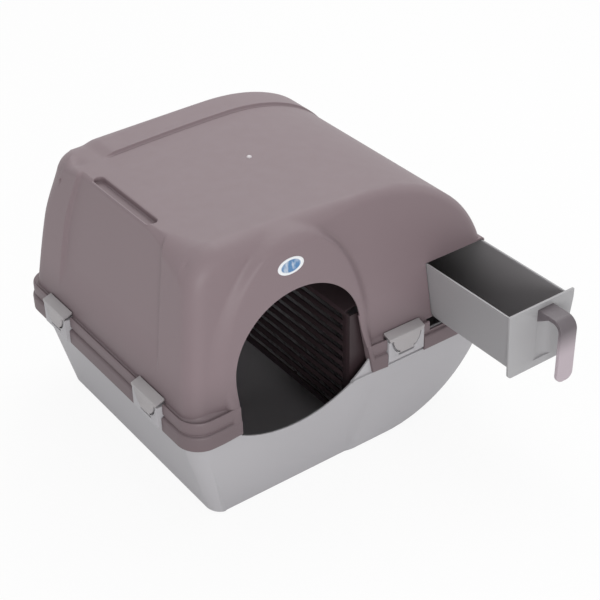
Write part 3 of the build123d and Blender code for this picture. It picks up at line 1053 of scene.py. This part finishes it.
    def press(self, points: np.ndarray, shares: np.ndarray) -> None:
        """Press the left panel and the rear pit in, and raise the rim along the rear of the top.

        Args:
            points: All the points, changed in place.
            shares: Place of every point between the front end, at 0, and the rear end, at 1.
        """
        x, y, z = points[:, 0], points[:, 1], points[:, 2]
        along = smooth_step(shares, self.panel_front, self.panel_front + self.panel_ease) * (
            1.0 - smooth_step(shares, self.panel_rear - self.panel_ease, self.panel_rear)
        )
        wall_x = self.left + self.left_lean * (z - self.ledge)
        near_wall = 1.0 - smooth_step(x - wall_x, *self.panel_edge)
        shift = self.panel_sink * along * smooth_step(z, *self.panel_heights) * near_wall
        over = smooth_step(x, *self.rim_from_x) * smooth_step(z, *self.rim_from_z)
        rise = self.rim_rise * smooth_step(shares, self.rim_start, self.rim_start + self.rim_width)
        from_groove = np.abs(shares - self.rim_start + self.groove_half) / self.groove_half
        across = np.clip(1.0 - from_groove, 0.0, 1.0)
        pit_x, pit_y = (x - self.pit[0]) / self.pit_spread[0], (y - self.pit[1]) / self.pit_spread[1]
        pit = self.pit_sink * np.exp(-(pit_x ** 2) - pit_y ** 2)
        points[:, 0] += shift
        points[:, 2] += (rise - self.groove_sink * across) * over - pit

    def shell(self) -> bpy.types.Object:
        """Build the skin with its thickness, before anything is cut.

        Returns:
            The new object.
        """
        front, rear = self.end_rings(True), self.end_rings(False)
        first, last = front[0], rear[0]
        low, high = first[:, 1], last[:, 1]
        count = int((high.max() - low.min()) / self.body_pitch)
        marks = [np.linspace(0.0, 1.0, count + 1)[1:-1]]
        for place in (self.panel_front + self.panel_ease / 2, self.fine_rear, self.rim_start):
            marks.append(np.linspace(place - self.fine_reach, place + self.fine_reach, self.fine_rows))
        none = np.zeros(self.draw_samples)
        body = []
        places = np.unique(np.round(np.concatenate(marks), 4))
        for share in places:
            depth = low + (high - low) * share
            flat = self.profile(none, none, 0.0, self.ridge_at(float(depth[self.wall_steps])))
            body.append(np.stack([flat[:, 0], depth, flat[:, 1]], axis=1))
        rings = rear[::-1] + body[::-1] + front
        points = np.concatenate(rings)
        width = len(first)
        shares = np.concatenate([np.ones(len(rear)), places[::-1], np.zeros(len(front))])
        self.press(points, np.repeat(shares, width))
        total = len(rings)
        faces = [
            (r * width + i, r * width + i + 1, (r + 1) * width + i + 1, (r + 1) * width + i)
            for r in range(total - 1) for i in range(width - 1)
        ]
        rear_y = float(self.depths(np.array([[0.0, self.foot]]), False)[0])
        corners = [tuple(p) for p in points.tolist()]
        corners += [(self.hood_x, rear_y, self.foot), (self.hood_x, self.hood_face, self.foot)]
        rear_tip, front_tip = len(corners) - 2, len(corners) - 1
        faces += [(rear_tip, i + 1, i) for i in range(width - 1)]
        start = (total - 1) * width
        faces += [(front_tip, start + i, start + i + 1) for i in range(width - 1)]
        piece = mesh_from("lid_dome", corners, faces)
        skin = piece.modifiers.new("skin", "SOLIDIFY")
        skin.thickness = self.wall * MM
        skin.offset = -1.0
        middle = piece.data.polygons[(total // 2) * (width - 1) + self.wall_steps + self.ridge_steps + 20]
        if middle.normal.z < 0:
            piece.data.flip_normals()
        apply_modifiers(piece)
        return piece

    def stadium(self, name: str, levels: list[tuple[float, float]]) -> bpy.types.Object:
        """Closed slot-shaped block along Y.

        Args:
            name: Name of the block.
            levels: Z and growth of every level, from the bottom up.

        Returns:
            The new object.
        """
        reach = self.slot_length / 2 - self.slot_width / 2
        points = []
        for z, grow in levels:
            radius = self.slot_width / 2 + grow
            for turn in round_turns(self.slot_steps):
                offset = reach if math.sin(turn) >= 0 else -reach
                x, y = self.slot_x + radius * math.cos(turn), self.slot_y + offset + radius * math.sin(turn)
                points.append((x, y, z))
        return stack_rings(name, points, self.slot_steps)

    def gate(self) -> bpy.types.Object:
        """Build the small raised mark that the mould's gate left on the top.

        Returns:
            The new object.
        """
        x, y = self.gate_mark
        points = []
        for share, up in self.gate_levels:
            radius = self.gate_radius * share
            points += [
                (x + radius * math.cos(t), y + radius * math.sin(t), self.top + up)
                for t in round_turns(self.gate_steps)
            ]
        piece = stack_rings("gate_mark", points, self.gate_steps)
        shade(piece, self.gate_sharp_above)
        return piece

    def build(self, finishes: Finishes) -> None:
        """Build and dress the lid's shell.

        Args:
            finishes: Finishes of the box.
        """
        piece = self.shell()
        bottom = self.top - self.slot_depth
        well = [(bottom - self.wall, self.wall), (self.top - self.well_under, self.wall)]
        carve(piece, self.stadium("well", well), add=True)
        mouth = [(bottom + up, grow) for up, grow in self.slot_foot]
        mouth += [(self.top + up, grow) for up, grow in self.slot_lip]
        carve(piece, self.stadium("slot", mouth))
        openings = Openings()
        for block in (openings.door(), openings.port(), openings.housing_room()):
            carve(piece, block)
        shade(piece, self.sharp_above)
        dress(piece, finishes.lid, Body.LID)
        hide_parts("lid_shell")
        dress(self.gate(), finishes.gate, Body.LID)


@dataclass
class Openings:
    """Blocks that cut the lid's door, tray port and clip notches."""

    reach: float = -700.0
    low: float = 147.0
    door_x: float = -90.0
    door_z: float = 244.0
    door_radius: float = 116.0
    door_foot_out: float = 18.0
    door_end: float = -120.0
    door_steps: int = 65
    tray_left: float = 163.0
    tray_right: float = 282.0
    tray_draft: float = 12.0
    tray_floor: float = 193.0
    tray_top: float = 298.0
    port_drop: float = 10.0
    port_end: float = -200.0
    gap: float = 1.2
    clip_half: float = 37.5
    clip_high: float = 210.0
    clip_gap: float = 0.3
    corner_low: tuple[float, float, float] = (255.0, -204.0, 255.0)
    corner_high: tuple[float, float, float] = (283.4, 231.0, 299.4)
    plate_low: tuple[float, float, float] = (158.8, -700.0, 183.0)
    plate_high: tuple[float, float, float] = (306.0, -222.5, 208.5)

    def door(self) -> bpy.types.Object:
        """Arched block through the front.

        Returns:
            The new object.
        """
        outline = [(self.door_x - self.door_radius, self.low)]
        outline += [
            (self.door_x + self.door_radius * math.cos(t), self.door_z + self.door_radius * math.sin(t))
            for t in np.linspace(math.pi, 0.0, self.door_steps)
        ]
        outline.append((self.door_x + self.door_radius + self.door_foot_out, self.low))
        return prism_y("door", outline, self.reach, self.door_end)

    def port(self) -> bpy.types.Object:
        """Block of the tray's outline through the front.

        Returns:
            The new object.
        """
        high, low = self.tray_top + self.gap, self.tray_floor - self.port_drop
        lean = self.tray_draft / (self.tray_top - self.tray_floor)
        draw_low = lean * (self.tray_top - low) - self.gap
        draw_high = -lean * self.gap - self.gap
        outline = [
            (self.tray_left + draw_low, low), (self.tray_right - draw_low, low),
            (self.tray_right - draw_high, high), (self.tray_left + draw_high, high),
        ]
        return prism_y("port", outline, self.reach, self.port_end)

    def housing_room(self) -> bpy.types.Object:
        """Block that clears the tray's upper corner along the inside of the lid."""
        return box_piece("housing_room", self.corner_low, self.corner_high)

    def plate_room(self) -> bpy.types.Object:
        """Block that leaves room for the tray's front plate."""
        return box_piece("plate_room", self.plate_low, self.plate_high)

    def clip_notches(self) -> list[bpy.types.Object]:
        """Blocks that leave room for the four clips.

        Returns:
            The new objects.
        """
        blocks = []
        for place, (x, y, out_x, out_y) in CLIP_SPOTS.items():
            span_x = (x - self.clip_half, x + self.clip_half)
            span_y = (y - self.clip_half, y + self.clip_half)
            if out_x:
                span_x = sorted((x + self.clip_gap * out_x, -self.reach * out_x))
            else:
                span_y = sorted((y + self.clip_gap * out_y, -self.reach * out_y))
            low, high = (span_x[0], span_y[0], self.low), (span_x[1], span_y[1], self.clip_high)
            blocks.append(box_piece(f"notch_{place}", low, high))
        return blocks


@dataclass
class LidSkirt:
    """Stepped band round the lid's foot, with its groove, bead and cove."""

    left: float = -299.0
    right: float = 301.0
    front: float = -237.0
    rear: float = 289.0
    corner: float = 40.0
    wall_left: float = -287.2
    wall_right: float = 291.2
    wall_front: float = -219.2
    wall_rear: float = 271.2
    wall_corner: float = 28.0
    corner_steps: int = 20
    beside_door: tuple[tuple[float, float], ...] = ((-256.0, -200.0), (38.0, 96.0))
    beside_steps: int = 15
    door_edges: tuple[float, float] = (-206.0, 43.0)
    ease_reach: float = 40.0
    ease_share: float = 0.15
    sharp_above: float = 40.0
    # Inset from the outline, height, and share of the way in to the lid's wall
    outside: tuple[tuple[float, float, float], ...] = (
        (0.8, 150.0, 0.0), (0.0, 150.8, 0.0), (0.0, 172.0, 0.0), (0.5, 174.2, 0.0), (2.0, 175.6, 0.0),
        (4.6, 176.2, 0.0), (5.0, 177.0, 0.0), (5.0, 178.6, 0.0), (4.4, 179.4, 0.0), (3.3, 180.6, 0.0),
        (3.0, 182.5, 0.0), (3.0, 195.0, 0.0), (3.4, 198.0, 0.0), (4.3, 199.7, 0.0), (5.2, 200.0, 0.0),
        (5.2, 199.4, 0.12), (5.2, 198.2, 0.28), (5.2, 197.9, 0.48), (5.2, 198.8, 0.68), (5.2, 201.0, 0.84),
        (5.2, 204.4, 0.94), (5.2, 209.0, 1.0),
    )
    inside: tuple[tuple[float, float, float], ...] = (
        (5.2, 197.0, 1.0), (6.6, 196.9, 0.3), (6.6, 196.6, 0.0), (6.0, 176.0, 0.0), (3.0, 173.0, 0.0),
        (3.0, 150.0, 0.0),
    )

    def ring(self, left: float, right: float, front: float, rear: float, corner: float) -> np.ndarray:
        """Rounded rectangle in plan.

        Args:
            left: Lowest X.
            right: Highest X.
            front: Lowest Y.
            rear: Highest Y.
            corner: Corner radius.

        Returns:
            X and Y of every point, anticlockwise.
        """
        centres = (
            (right - corner, front + corner, -90.0), (right - corner, rear - corner, 0.0),
            (left + corner, rear - corner, 90.0), (left + corner, front + corner, 180.0),
        )
        points = []
        for x, y, start in centres:
            for turn in np.linspace(math.radians(start), math.radians(start + 90.0), self.corner_steps):
                points.append((x + corner * math.cos(turn), y + corner * math.sin(turn)))
        for low, high in self.beside_door:
            points += [(float(x), front) for x in np.linspace(low, high, self.beside_steps)]
        return np.array(points)

    def ease(self, flat: np.ndarray) -> None:
        """Draw the front of a ring in towards the wall beside the door.

        Args:
            flat: X and Y of the ring, changed in place.
        """
        beyond = np.maximum(self.door_edges[0] - flat[:, 0], flat[:, 0] - self.door_edges[1])
        share = self.ease_share * (1.0 - smooth_step(beyond, 0.0, self.ease_reach))
        ahead = np.minimum(flat[:, 1] - self.wall_front, 0.0)
        flat[:, 1] -= np.where(flat[:, 1] < 0, ahead * share, 0.0)

    def build(self, finishes: Finishes) -> None:
        """Build and dress the skirt.

        Args:
            finishes: Finishes of the box.
        """
        inner = self.ring(self.wall_left, self.wall_right, self.wall_front, self.wall_rear, self.wall_corner)
        rings = []
        for inset, z, blend in self.outside + self.inside:
            outer = self.ring(
                self.left + inset, self.right - inset, self.front + inset, self.rear - inset,
                self.corner - inset,
            )
            flat = outer + (inner - outer) * blend
            self.ease(flat)
            rings.append(np.column_stack([flat, np.full(len(flat), z)]))
        width = len(inner)
        total = len(rings) * width
        faces = [tuple(corner % total for corner in face) for face in ring_faces(len(rings) + 1, width)]
        piece = mesh_from("lid_skirt", [tuple(p) for p in np.concatenate(rings).tolist()], faces)
        turn_outwards(piece)
        openings = Openings()
        for block in (openings.door(), openings.port(), openings.plate_room(), *openings.clip_notches()):
            carve(piece, block)
        shade(piece, self.sharp_above)
        dress(piece, finishes.lid, Body.LID)


@dataclass
class DoorLegs:
    """Smooth bands that carry the hood down over the skirt on both sides of the door."""

    back: float = -219.5
    hood_depth: float = 2.9
    foot_depth: float = 14.7
    foot: float = 150.2
    blend_low: float = 174.0
    blend_high: float = 244.0
    top: float = 262.0
    levels: int = 34
    sharp_above: float = 50.0
    left_edge: tuple[float, float] = (-206.0, -206.0)
    left_widths: tuple[float, float] = (9.0, 17.0)
    right_edge: tuple[float, float] = (43.4, 22.7)
    right_widths: tuple[float, float] = (4.0, 14.0)
    # Share across the flat face and share of the depth, then the share across the rolled side
    section: tuple[tuple[float, float], ...] = (
        (0.0, 0.0), (0.0, 0.90), (0.25, 0.97), (0.8, 1.0), (1.0, 1.0), (1.0, 0.985), (1.0, 0.92), (1.0, 0.80),
        (1.0, 0.62), (1.0, 0.42), (1.0, 0.22), (1.0, 0.08), (1.0, 0.0),
    )
    rolls: tuple[float, ...] = (0.0, 0.0, 0.0, 0.0, 0.0, 0.14, 0.28, 0.42, 0.54, 0.66, 0.78, 0.90, 1.0)

    def band(
        self, name: str, edge: tuple[float, float], side: float, widths: tuple[float, float]
    ) -> bpy.types.Object:
        """One band beside the door.

        Args:
            name: Name of the piece.
            edge: X of the door's edge at the foot and at the top of the band.
            side: Direction away from the door, -1 or 1.
            widths: Width of the flat face and of the rolled side.

        Returns:
            The new object.
        """
        flat, roll = widths
        points = []
        for z in np.linspace(self.foot, self.top, self.levels):
            swell = 1.0 - float(smooth_step(z, self.blend_low, self.blend_high))
            depth = self.hood_depth + (self.foot_depth - self.hood_depth) * swell
            start = edge[0] + (edge[1] - edge[0]) * (z - self.foot) / (self.top - self.foot)
            points += [
                (start + side * (flat * across + roll * turn), self.back - depth * out, float(z))
                for (across, out), turn in zip(self.section, self.rolls)
            ]
        piece = stack_rings(name, points, len(self.section))
        shade(piece, self.sharp_above)
        return piece

    def build(self, finishes: Finishes) -> None:
        """Build and dress both bands.

        Args:
            finishes: Finishes of the box.
        """
        left = self.band("door_leg_left", self.left_edge, -1.0, self.left_widths)
        right = self.band("door_leg_right", self.right_edge, 1.0, self.right_widths)
        for piece in (left, right):
            dress(piece, finishes.lid, Body.LID)


@dataclass
class Screen:
    """Slotted wall beside the door: the frame's wall with rounded bars and a flange at its front end,
    finished near black as painted shade.
    """

    left: float = 11.0
    right: float = 15.0
    front: float = -196.0
    rear: float = 224.0
    low: float = 59.5
    high: float = 255.0
    first: float = 75.65
    pitch: float = 20.4
    count: int = 9
    half_height: float = 4.7
    half_thickness: float = 3.8
    bar_steps: int = 24
    bar_overlap: float = 1.0
    window_left: float = 8.0
    window_right: float = 21.5
    flange_low: tuple[float, float, float] = (11.0, -214.2, 110.0)
    flange_high: tuple[float, float, float] = (47.0, -212.2, 262.0)
    edge: float = 0.6
    sharp_above: float = 40.0

    def bar(self, index: int) -> bpy.types.Object:
        """One rounded bar along Y.

        Args:
            index: Number of the bar from the bottom.

        Returns:
            The new object.
        """
        x, z = (self.left + self.right) / 2, self.first + index * self.pitch
        outline = [
            (x + self.half_thickness * math.cos(t), z + self.half_height * math.sin(t))
            for t in round_turns(self.bar_steps)
        ]
        near, far = self.front - self.bar_overlap, self.rear + self.bar_overlap
        return prism_y(f"grill_bar_{index + 1}", outline, near, far)

    def build(self, frame: dict, finishes: Finishes) -> None:
        """Build and dress the wall, its bars and its flange.

        Args:
            frame: Loaded frame.
            finishes: Finishes of the box.
        """
        wall = moulding(frame, "grill_screen", "grill", 0.0)
        low, high = (self.window_left, self.front, self.low), (self.window_right, self.rear, self.high)
        carve(wall, box_piece("window", low, high))
        round_off(wall, self.edge)
        pieces = [wall, box_piece("grill_flange", self.flange_low, self.flange_high)]
        pieces += [self.bar(index) for index in range(self.count)]
        for piece in pieces[1:]:
            shade(piece, self.sharp_above)
        # Wall, bars and flange take the grill finish, painted near black as painted shade
        for piece in pieces:
            dress(piece, finishes.grill, Body.LID)


@dataclass
class LidInside:
    """Squared corner over the tray, and the tray's right-hand guide under it."""

    housing_front: float = -214.7
    housing_rear: float = 230.0
    housing_low: float = 280.0
    housing_left: float = 262.0
    housing_inside: tuple[float, float] = (283.4, 299.4)
    housing_outside: tuple[float, float] = (286.2, 302.2)
    housing_round: float = 6.0
    round_steps: int = 9
    guide_front: float = -192.0
    guide_rear: float = 216.0
    sharp_above: float = 40.0
    rail: tuple[tuple[float, float], ...] = (
        (252.0, 189.7), (288.8, 189.7), (288.8, 199.3), (290.5, 199.3), (290.5, 219.3), (285.8, 219.3),
        (285.8, 192.7), (252.0, 192.7),
    )

    def housing(self) -> bpy.types.Object:
        """Build the squared corner.

        Returns:
            The new object.
        """
        (in_x, in_z), (out_x, out_z), radius = self.housing_inside, self.housing_outside, self.housing_round
        arc = [
            (out_x - radius + radius * math.cos(t), out_z - radius + radius * math.sin(t))
            for t in np.linspace(0.0, math.pi / 2, self.round_steps)
        ]
        outline = [(in_x, self.housing_low), (out_x, self.housing_low), *arc]
        outline += [(self.housing_left, out_z), (self.housing_left, in_z), (in_x, in_z)]
        return prism_y("tray_housing", outline, self.housing_front, self.housing_rear)

    def build(self, finishes: Finishes) -> None:
        """Build and dress both pieces.

        Args:
            finishes: Finishes of the box.
        """
        housing = self.housing()
        guide = prism_y("tray_guide", list(self.rail), self.guide_front, self.guide_rear)
        for piece in (housing, guide):
            shade(piece, self.sharp_above)
            dress(piece, finishes.lid, Body.LID)


@dataclass
class TrayPaintedShadeLining:
    """Darker inner skin of the tray: a sheet of painted shade that stands for the shadow inside the tray."""

    front: float = -401.6
    rear: float = 32.0
    floor: float = 196.0
    top: float = 297.2
    floor_left: float = 178.1
    floor_right: float = 266.9
    top_left: float = 166.3
    top_right: float = 278.7
    thickness: float = 0.5
    cut_above: float = 9.0

    def build(self, finishes: Finishes) -> None:
        """Build and dress the skin.

        Args:
            finishes: Finishes of the box.
        """
        outline = [
            (self.floor_left, self.floor), (self.floor_right, self.floor), (self.top_right, self.top),
            (self.top_left, self.top),
        ]
        piece = prism_y("tray_painted_shade_lining", outline, self.front, self.rear)
        skin = self.thickness
        hollow = [
            (self.floor_left + skin, self.floor + skin), (self.floor_right - skin, self.floor + skin),
            (self.top_right - skin, self.top), (self.top_right - skin, self.top + self.cut_above),
            (self.top_left + skin, self.top + self.cut_above), (self.top_left + skin, self.top),
        ]
        carve(piece, prism_y("hollow", hollow, self.front + skin, self.rear - skin))
        shade(piece)
        dress(piece, finishes.tray_painted_shade, Body.TRAY)


@dataclass
class Label:
    """Oval label over the door, with a raised rim."""

    x: float = -103.0
    z: float = 404.0
    half_width: float = 23.0
    half_height: float = 14.0
    face: float = -223.7
    # Share of the oval's size, and distance behind the face
    rings: tuple[tuple[float, float], ...] = (
        (1.0, 1.2), (1.0, 0.3), (0.97, 0.0), (0.80, 0.0), (0.77, 0.25), (0.4, 0.1),
    )
    steps: int = 72
    sharp_above: float = 35.0

    def build(self, finishes: Finishes) -> None:
        """Build and dress the label.

        Args:
            finishes: Finishes of the box.
        """
        points = [
            (
                self.x + self.half_width * share * math.cos(turn), self.face + behind,
                self.z + self.half_height * share * math.sin(turn),
            )
            for share, behind in self.rings for turn in round_turns(self.steps)
        ]
        faces = ring_faces(len(self.rings), self.steps)
        tip = len(points)
        points.append((self.x, self.face, self.z))
        start = tip - self.steps
        faces += [(start + i, start + (i + 1) % self.steps, tip) for i in range(self.steps)]
        faces.append(tuple(range(self.steps)))
        piece = mesh_from("oval_label", points, faces)
        turn_outwards(piece)
        shade(piece, self.sharp_above)
        dress(piece, finishes.label, Body.LID)
        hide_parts("oval_badge")


@dataclass
class Mouldings:
    """Pieces whose shape comes from the frame, with softened edges."""

    base_edge: float = 0.9
    tray_edge: float = 0.5
    handle_edge: float = 0.4
    clip_edge: float = 0.5
    pad_top: float = 197.0
    pad_margin: float = 0.3
    pad_share: float = 0.935
    roof_lift: float = 2.5
    roof_start: float = 2.0
    roof_run: float = 16.0

    def ease_clip(self, clip: bpy.types.Object, place: str) -> None:
        """Draw the thumb pad in from its pocket and let the roof fall less.

        Args:
            clip: Clip that is changed.
            place: Place of the clip.
        """
        x0, y0, out_x, out_y = CLIP_SPOTS[place]
        for vertex in clip.data.vertices:
            x, y, z = (v / MM for v in vertex.co)
            out = (x - x0) * out_x + (y - y0) * out_y
            if z > self.pad_top - self.pad_margin:
                vertex.co.z += self.roof_lift * max(out - self.roof_start, 0.0) / self.roof_run * MM
                continue
            vertex.co.z = (self.pad_top + (z - self.pad_top) * self.pad_share) * MM
            if out_x:
                vertex.co.y = (y0 + (y - y0) * self.pad_share) * MM
            else:
                vertex.co.x = (x0 + (x - x0) * self.pad_share) * MM

    def build(self, frame: dict, finishes: Finishes) -> None:
        """Copy, soften and dress each moulding.

        Args:
            frame: Loaded frame.
            finishes: Finishes of the box.
        """
        base = moulding(frame, "base_tub", "tub", self.base_edge)
        dress(base, finishes.base, Body.BASE)
        tray = moulding(frame, "tray_box", "waste_tray", self.tray_edge)
        dress(tray, finishes.tray, Body.TRAY)
        handle = moulding(frame, "tray_handle", "hook_handle", self.handle_edge)
        dress(handle, finishes.handle, Body.TRAY)
        for place in CLIP_SPOTS:
            clip = moulding(frame, f"clip_{place}", f"thumb_clip_{place}", 0.0)
            self.ease_clip(clip, place)
            round_off(clip, self.clip_edge)
            dress(clip, finishes.clip, Body(f"clip_{place}"))


@dataclass
class Fixings:
    """Screws and hinge pins, which keep their frame shapes."""

    nodes: tuple[str, ...] = ("grill_screws", "handle_screws") + tuple(f"clip_pin_{p}" for p in CLIP_SPOTS)

    def build(self, frame: dict, finishes: Finishes) -> None:
        """Give every fixing its finish.

        Args:
            frame: Loaded frame.
            finishes: Finishes of the box.
        """
        for name in self.nodes:
            piece = frame["nodes"][name]
            if not piece.material_slots:
                piece.data.materials.append(finishes.steel)
            for slot in piece.material_slots:
                slot.material = finishes.steel
            LOG.info("%s keeps its frame shape", name)


# Stage


@dataclass
class Studio:
    """Floor, lamps, backdrop and camera."""

    camera_at: tuple[float, float, float] = (-1091.47, -1630.12, 1513.64)
    camera_right: tuple[float, float, float] = (0.8068, -0.5905, -0.0182)
    camera_up: tuple[float, float, float] = (0.3443, 0.4450, 0.8267)
    camera_back: tuple[float, float, float] = (-0.4800, -0.6732, 0.5624)
    lens: float = 85.32
    sensor: float = 36.0
    far_clip: float = 60.0
    floor_size: float = 16.0
    floor_roughness: float = 0.9
    floor_specular: float = 0.1
    floor_white: float = 0.90
    world_strength: float = 0.62
    backdrop_strength: float = 1.0
    aim: tuple[float, float, float] = (0.0, 0.0, 0.2)
    # Name, place and size in metres, and power in watts
    lamps: tuple[tuple[str, tuple[float, float, float], float, float], ...] = (
        ("overhead", (0.9, 0.7, 2.5), 2.0, 26.0),
        ("corner_fill", (-1.2, -2.3, 0.9), 0.8, 18.5),
    )

    def camera(self) -> None:
        """Place the camera."""
        data = bpy.data.cameras.new("camera")
        data.lens = self.lens
        data.sensor_width = self.sensor
        data.clip_end = self.far_clip
        camera = bpy.data.objects.new("camera", data)
        bpy.context.scene.collection.objects.link(camera)
        turn = Matrix((self.camera_right, self.camera_up, self.camera_back)).transposed().to_4x4()
        camera.matrix_world = Matrix.Translation(Vector(self.camera_at) * MM) @ turn
        bpy.context.scene.camera = camera

    def floor(self) -> None:
        """Lay the pale floor, which the camera sees nearly white with the box's shadow on it."""
        half = self.floor_size / 2
        corners = [(-half, -half, 0), (half, -half, 0), (half, half, 0), (-half, half, 0)]
        mesh = bpy.data.meshes.new("floor")
        mesh.from_pydata(corners, [], [(0, 1, 2, 3)])
        piece = link("floor", mesh)
        material, tree, shader = new_material("floor_paper")
        shader.inputs["Base Color"].default_value = rgba(Shade.FLOOR)
        shader.inputs["Roughness"].default_value = self.floor_roughness
        shader.inputs["Specular IOR Level"].default_value = self.floor_specular
        glow = tree.nodes.new("ShaderNodeEmission")
        glow.inputs["Color"].default_value = rgba(Shade.WHITE)
        path = tree.nodes.new("ShaderNodeLightPath")
        share = math_node(tree, "MULTIPLY")
        share.inputs[1].default_value = self.floor_white
        mix = tree.nodes.new("ShaderNodeMixShader")
        wire(
            tree,
            (path.outputs["Is Camera Ray"], share.inputs[0]),
            (share.outputs[0], mix.inputs["Fac"]),
            (shader.outputs["BSDF"], mix.inputs[1]),
            (glow.outputs["Emission"], mix.inputs[2]),
            (mix.outputs["Shader"], tree.nodes["Material Output"].inputs["Surface"]),
        )
        piece.data.materials.append(material)

    def world(self) -> None:
        """Light the box evenly from all round, with a white backdrop."""
        world = bpy.data.worlds.new("studio")
        bpy.context.scene.world = world
        world.use_nodes = True
        tree = world.node_tree
        light = tree.nodes["Background"]
        white = tree.nodes.new("ShaderNodeBackground")
        for backdrop, strength in ((light, self.world_strength), (white, self.backdrop_strength)):
            backdrop.inputs["Color"].default_value = rgba(Shade.WHITE)
            backdrop.inputs["Strength"].default_value = strength
        path = tree.nodes.new("ShaderNodeLightPath")
        mix = tree.nodes.new("ShaderNodeMixShader")
        seen = math_node(tree, "MAXIMUM")
        wire(
            tree,
            (path.outputs["Is Camera Ray"], seen.inputs[0]),
            (path.outputs["Is Glossy Ray"], seen.inputs[1]),
            (seen.outputs[0], mix.inputs["Fac"]),
            (light.outputs["Background"], mix.inputs[1]),
            (white.outputs["Background"], mix.inputs[2]),
            (mix.outputs["Shader"], tree.nodes["World Output"].inputs["Surface"]),
        )

    def lights(self) -> None:
        """Hang the soft lamps."""
        for name, place, size, power in self.lamps:
            data = bpy.data.lights.new(name, "AREA")
            data.size = size
            data.energy = power
            lamp = bpy.data.objects.new(name, data)
            bpy.context.scene.collection.objects.link(lamp)
            direction = Vector(self.aim) - Vector(place)
            lamp.rotation_euler = direction.to_track_quat("-Z", "Y").to_euler()
            lamp.location = place

    def build(self) -> None:
        """Set the whole stage."""
        bpy.context.scene.view_settings.view_transform = "Standard"
        self.camera()
        self.floor()
        self.world()
        self.lights()


def main() -> None:
    """Build the litter box piece by piece."""
    logging.basicConfig(level=logging.INFO, format="%(name)s: %(message)s")
    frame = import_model()
    finishes = Finishes()
    LidShell().build(finishes)
    LidSkirt().build(finishes)
    DoorLegs().build(finishes)
    Screen().build(frame, finishes)
    LidInside().build(finishes)
    TrayPaintedShadeLining().build(finishes)
    Label().build(finishes)
    Mouldings().build(frame, finishes)
    Fixings().build(frame, finishes)
    Studio().build()


if __name__ == "__main__":
    main()
